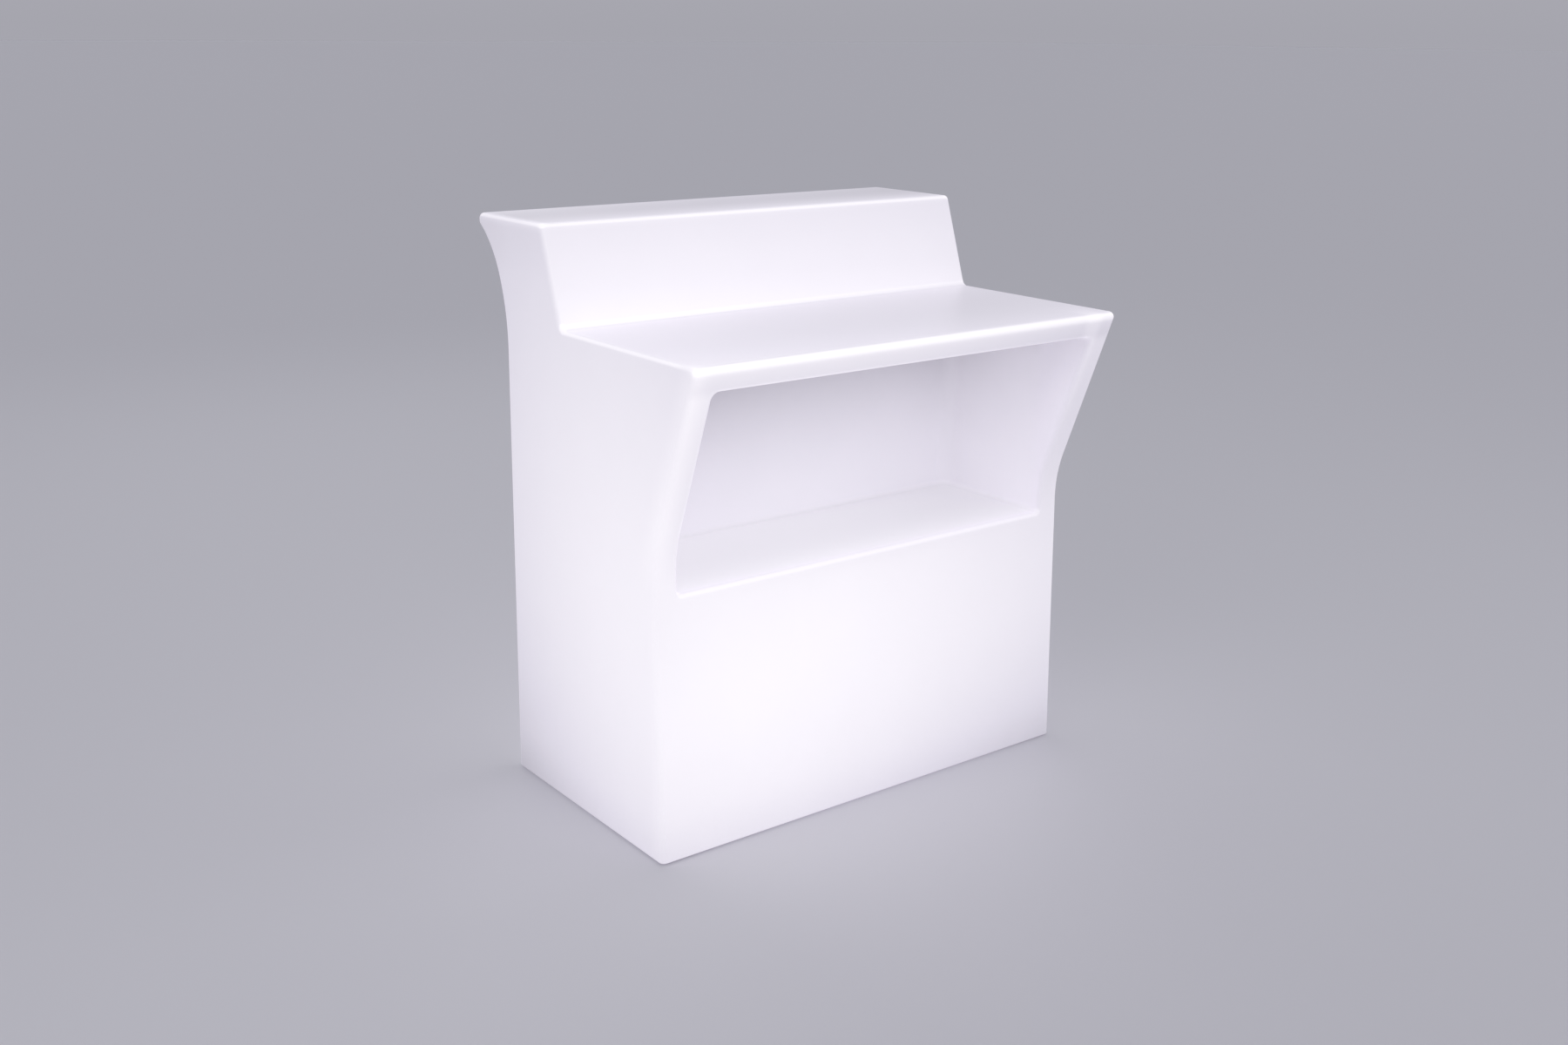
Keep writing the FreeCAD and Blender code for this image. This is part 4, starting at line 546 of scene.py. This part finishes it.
for corner, spot in FEET.items():
    body = "foot_" + corner
    sole = turned("sole_" + corner, sole_outline, spots=(spot,))
    fit("sole_" + corner, sole, rubber_finish, body, "black_rubber", "foot_sole_" + corner)
    base = turned("base_" + corner, base_outline, hexagon(GRIP_WIDTH, above=8.05, beyond=11.0), (spot,))
    fit("base_" + corner, base, nylon_finish, body, "black_nylon", "foot_base_" + corner)
    stud = turned("stud_" + corner, stud_outline, thread, (spot,), THREAD_STEPS)
    fit("stud_" + corner, stud, zinc_finish, body, "zinc_steel", "foot_stud_" + corner)
nut_outline = (
    (5.9, 15.3), (8.4, 15.3), (9.82, 16.1), (9.82, 22.5), (8.4, 23.3), (5.9, 23.3), (5.2, 22.6), (5.2, 16.0)
)
nuts = turned("locknuts", nut_outline, hexagon(LOCKNUT_WIDTH, beyond=8.0), FEET.values())
fit("locknuts", nuts, zinc_finish, "counter", "zinc_steel", "foot_locknuts")
brass_finish = worn("turned brass", (0.72, 0.50, 0.20), 0.34, 300.0, 1.0, relief=0.12)
dress("foot_inserts", brass_finish)

# Base cover: a round ribbed cover that closes the opening under the lamp. Eight screws hold it, each
# with a washer, over a flat seal of cellular rubber. Lift it out with the whole kit on it to change a part.
COVER_Y = 17.25
SCREW_CIRCLE = 136.0
SCREW_COUNT = 8
SCREW_TURNS = [2 * math.pi * screw / SCREW_COUNT for screw in range(SCREW_COUNT)]
SCREW_SPOTS = [
    (SCREW_CIRCLE * math.cos(turn), COVER_Y + SCREW_CIRCLE * math.sin(turn)) for turn in SCREW_TURNS
]
DRIVE_WIDTH = 3
DRIVE_REACH = 1.8
DRIVE_END = 9
WELD = 0.002 * MM
FLAT_TURN = math.radians(1)
EDGE_TURN = math.radians(40)
SHORT_EDGE = 0.2 * MM
SOFT_TURN = math.radians(20)


def softened(node, name, width):
    """A copy of a node's mesh with its sharp edges rounded off by this width in millimetres."""
    body = bmesh.new()
    body.from_mesh(frame["nodes"][node].data)
    bmesh.ops.remove_doubles(body, verts=body.verts, dist=WELD)
    bmesh.ops.dissolve_limit(body, angle_limit=FLAT_TURN, verts=body.verts, edges=body.edges)
    sharp = [
        edge for edge in body.edges
        if len(edge.link_faces) == 2 and edge.calc_face_angle() > EDGE_TURN
        and edge.calc_length() > SHORT_EDGE and edge.is_convex
    ]
    bmesh.ops.bevel(
        body, geom=sharp, offset=width * MM, segments=2, profile=0.5, affect="EDGES", clamp_overlap=True
    )
    mesh = bpy.data.meshes.new(name)
    body.to_mesh(mesh)
    body.free()
    mesh.shade_smooth()
    mesh.set_sharp_from_angle(angle=SOFT_TURN)
    return mesh


cover_finish = worn("white moulded cover", (0.71, 0.70, 0.73), 0.5, 800.0, relief=0.3, spread=0.05)
cover = softened("base_cover", "cover_moulding", 0.5)
fit("cover_moulding", cover, cover_finish, "counter", "cover_plastic", "base_cover")
foam_finish = worn("cellular rubber seal", (0.05, 0.05, 0.052), 0.9, 1500.0, relief=0.8)
dress("cover_gasket", foam_finish)
dress("cover_inserts", brass_finish)
screw_outline = (
    (0, 8.4), (1.74, 8.4), (1.74, 7.0), (2.0, 6.8), (3.7, 6.8), (4.3, 7.0), (4.5, 7.5), (4.5, 9.5),
    (4.3, 9.8), (2.5, 9.8), (2.5, 25.0), (1.9, 25.8), (0, 25.8),
)


def drive(radius, height, angle):
    """A ring of the screw's head, with the hexagon socket in its middle."""
    if radius > DRIVE_REACH or height > DRIVE_END:
        return radius
    return hexagon(DRIVE_WIDTH)(radius, height, angle)


screws = turned("cover_bolts", screw_outline, drive, SCREW_SPOTS)
fit("cover_bolts", screws, zinc_finish, "counter", "zinc_steel", "cover_screws")
washer_outline = ((2.8, 9.8), (5.75, 9.8), (6.0, 10.05), (6.0, 10.75), (5.75, 11.0), (2.8, 11.0))
washers = turned("cover_discs", washer_outline, spots=SCREW_SPOTS)
fit("cover_discs", washers, zinc_finish, "counter", "zinc_steel", "cover_washers")

# Breather plug: a nylon plug pushed into the underside, with a fine bore that lets the air in and out
# as the counter warms and cools, and after moulding.
plug = softened("vent_plug", "breather", 0.3)
fit("breather", plug, nylon_finish, "counter", "black_nylon", "vent_plug")

# Charging inlet and its cap: a flanged plastic inlet through the cover, held by a nut inside, and a
# rubber cap on a strap whose rolled end turns on a steel pin between two lugs of the cover.
socket_finish = worn("black hard plastic", (0.035, 0.035, 0.038), 0.36, 900.0, relief=0.2)
inlet = softened("charge_socket", "charge_inlet", 0.4)
fit("charge_inlet", inlet, socket_finish, "counter", "button_plastic", "charge_socket")
dress("charge_socket_nut", zinc_finish)
dress("cap_hinge_pin", zinc_finish)
cap = softened("charge_cap", "inlet_cap", 0.25)
fit("inlet_cap", cap, rubber_finish, "charge_cap", "black_rubber", "charge_cap")

# Switch: a sprung push-button with a dished cap in a plated bezel, fixed by a nut inside the cover,
# and beside it a clear lens that shows when the battery charges.
bezel = softened("button_housing", "button_bezel", 0.4)
fit("button_bezel", bezel, zinc_finish, "counter", "zinc_steel", "button_housing")
dress("button_nut", zinc_finish)
BUTTON_SPOT = (28.0, -50.75)
spring_finish = worn("spring steel", (0.50, 0.50, 0.51), 0.28, 300.0, 1.0)
coil = frame["nodes"]["button_spring"].data.copy()
spring = fit("return_spring", coil, spring_finish, "counter", "spring_steel", "button_spring")
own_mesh(spring)
button_outline = (
    (0, 7.5), (1.5, 7.47), (2.8, 7.35), (3.9, 7.1), (4.6, 6.86), (4.9, 6.8), (5.2, 6.88), (5.42, 7.1),
    (5.5, 7.4), (5.5, 11.1), (6.4, 11.1), (6.6, 11.3), (6.6, 12.9), (6.4, 13.1), (0, 13.1),
)
button = turned("push_cap", button_outline, spots=(BUTTON_SPOT,))
fit("push_cap", button, socket_finish, "power_button", "button_plastic", "power_button")
lens_finish = apply_finish(new_finish("clear status lens")[0], {
    "Base Color": (0.80, 0.86, 0.83, 1),
    "Roughness": 0.12,
    "Transmission Weight": 0.7,
    "IOR": 1.49,
})
dress("status_lens", lens_finish)

# Kit housing: an upside-down tub of moulded plastic over the battery and the board, screwed to the
# cover over a silicone seal.
kit_finish = worn("white moulded kit plastic", (0.80, 0.80, 0.81), 0.45, 700.0, relief=0.3, spread=0.04)
silicone_finish = worn("silicone", (0.62, 0.60, 0.58), 0.5, 500.0)
dress("kit_housing", kit_finish)
dress("housing_seal", silicone_finish)
dress("housing_screws", zinc_finish)

# Battery: round cells in shrink wrap, in a plastic tray that is bonded to the cover. A steel strap,
# screwed down on the tray's walls, holds them in it.
dress("battery_tray", kit_finish)
dress("battery_cells", worn("cell wrap", (0.05, 0.20, 0.42), 0.4, 400.0))
dress("battery_clamp", zinc_finish)
dress("clamp_screws", zinc_finish)

# Control board: it holds the charger, the dimmer and the receiver of the remote control, on four
# nylon pillars that are moulded onto the cover's kit side.
board_finish = worn("circuit board", (0.02, 0.16, 0.07), 0.35, 500.0)
black_finish = worn("black components", (0.02, 0.02, 0.022), 0.42, 600.0)
dress("control_board", board_finish)
dress("board_pillars", nylon_finish)
dress("board_screws", zinc_finish)
dress("board_components", black_finish)
dress("remote_receiver", black_finish)
RED_LEAD = (0.45, 0.03, 0.03)
BLACK_LEAD = (0.06, 0.06, 0.065)
for lead in ("battery_lead", "charge_lead", "button_lead", "lamp_lead"):
    dress(lead, worn(lead, RED_LEAD if lead == "battery_lead" else BLACK_LEAD, 0.5, 600.0))

# Lamp: a hexagonal aluminium tube with a light board on each side, on a plate over the housing. A
# frosted tube with a domed end spreads its light.
aluminium_finish = worn("drawn aluminium", (0.78, 0.79, 0.80), 0.35, 220.0, 1.0)
dress("lamp_base", aluminium_finish)
dress("lamp_core", aluminium_finish)
dress("core_cap", nylon_finish)
dress("terminal_bar", black_finish)
dress("lamp_grommet", rubber_finish)
dress("led_boards", worn("white light board", (0.82, 0.82, 0.80), 0.4, 400.0, spread=0.04))
CHIP_GLOW = (1.0, 0.93, 0.80)
DIFFUSER_GLOW = (0.86, 0.84, 0.88)


def lit(name, shade, roughness, grain, glow):
    """A finish that gives light of its own, with a fine grain in its gloss."""
    material, wire = new_finish(name)
    return apply_finish(material, {
        "Base Color": (*shade, 1),
        "Roughness": roughness + 0.1 * wire.grain(wire.place(), grain),
        "Emission Color": (*glow, 1),
        "Emission Strength": 1.0,
    })


dress("led_chips", lit("lit light chip", (0.9, 0.75, 0.35), 0.3, 900.0, CHIP_GLOW))
dress("lamp_diffuser", lit("frosted diffuser", (0.88, 0.88, 0.90), 0.5, 400.0, DIFFUSER_GLOW))
dress("diffuser_seal", silicone_finish)
dress("diffuser_ring", kit_finish)
dress("ring_screws", zinc_finish)
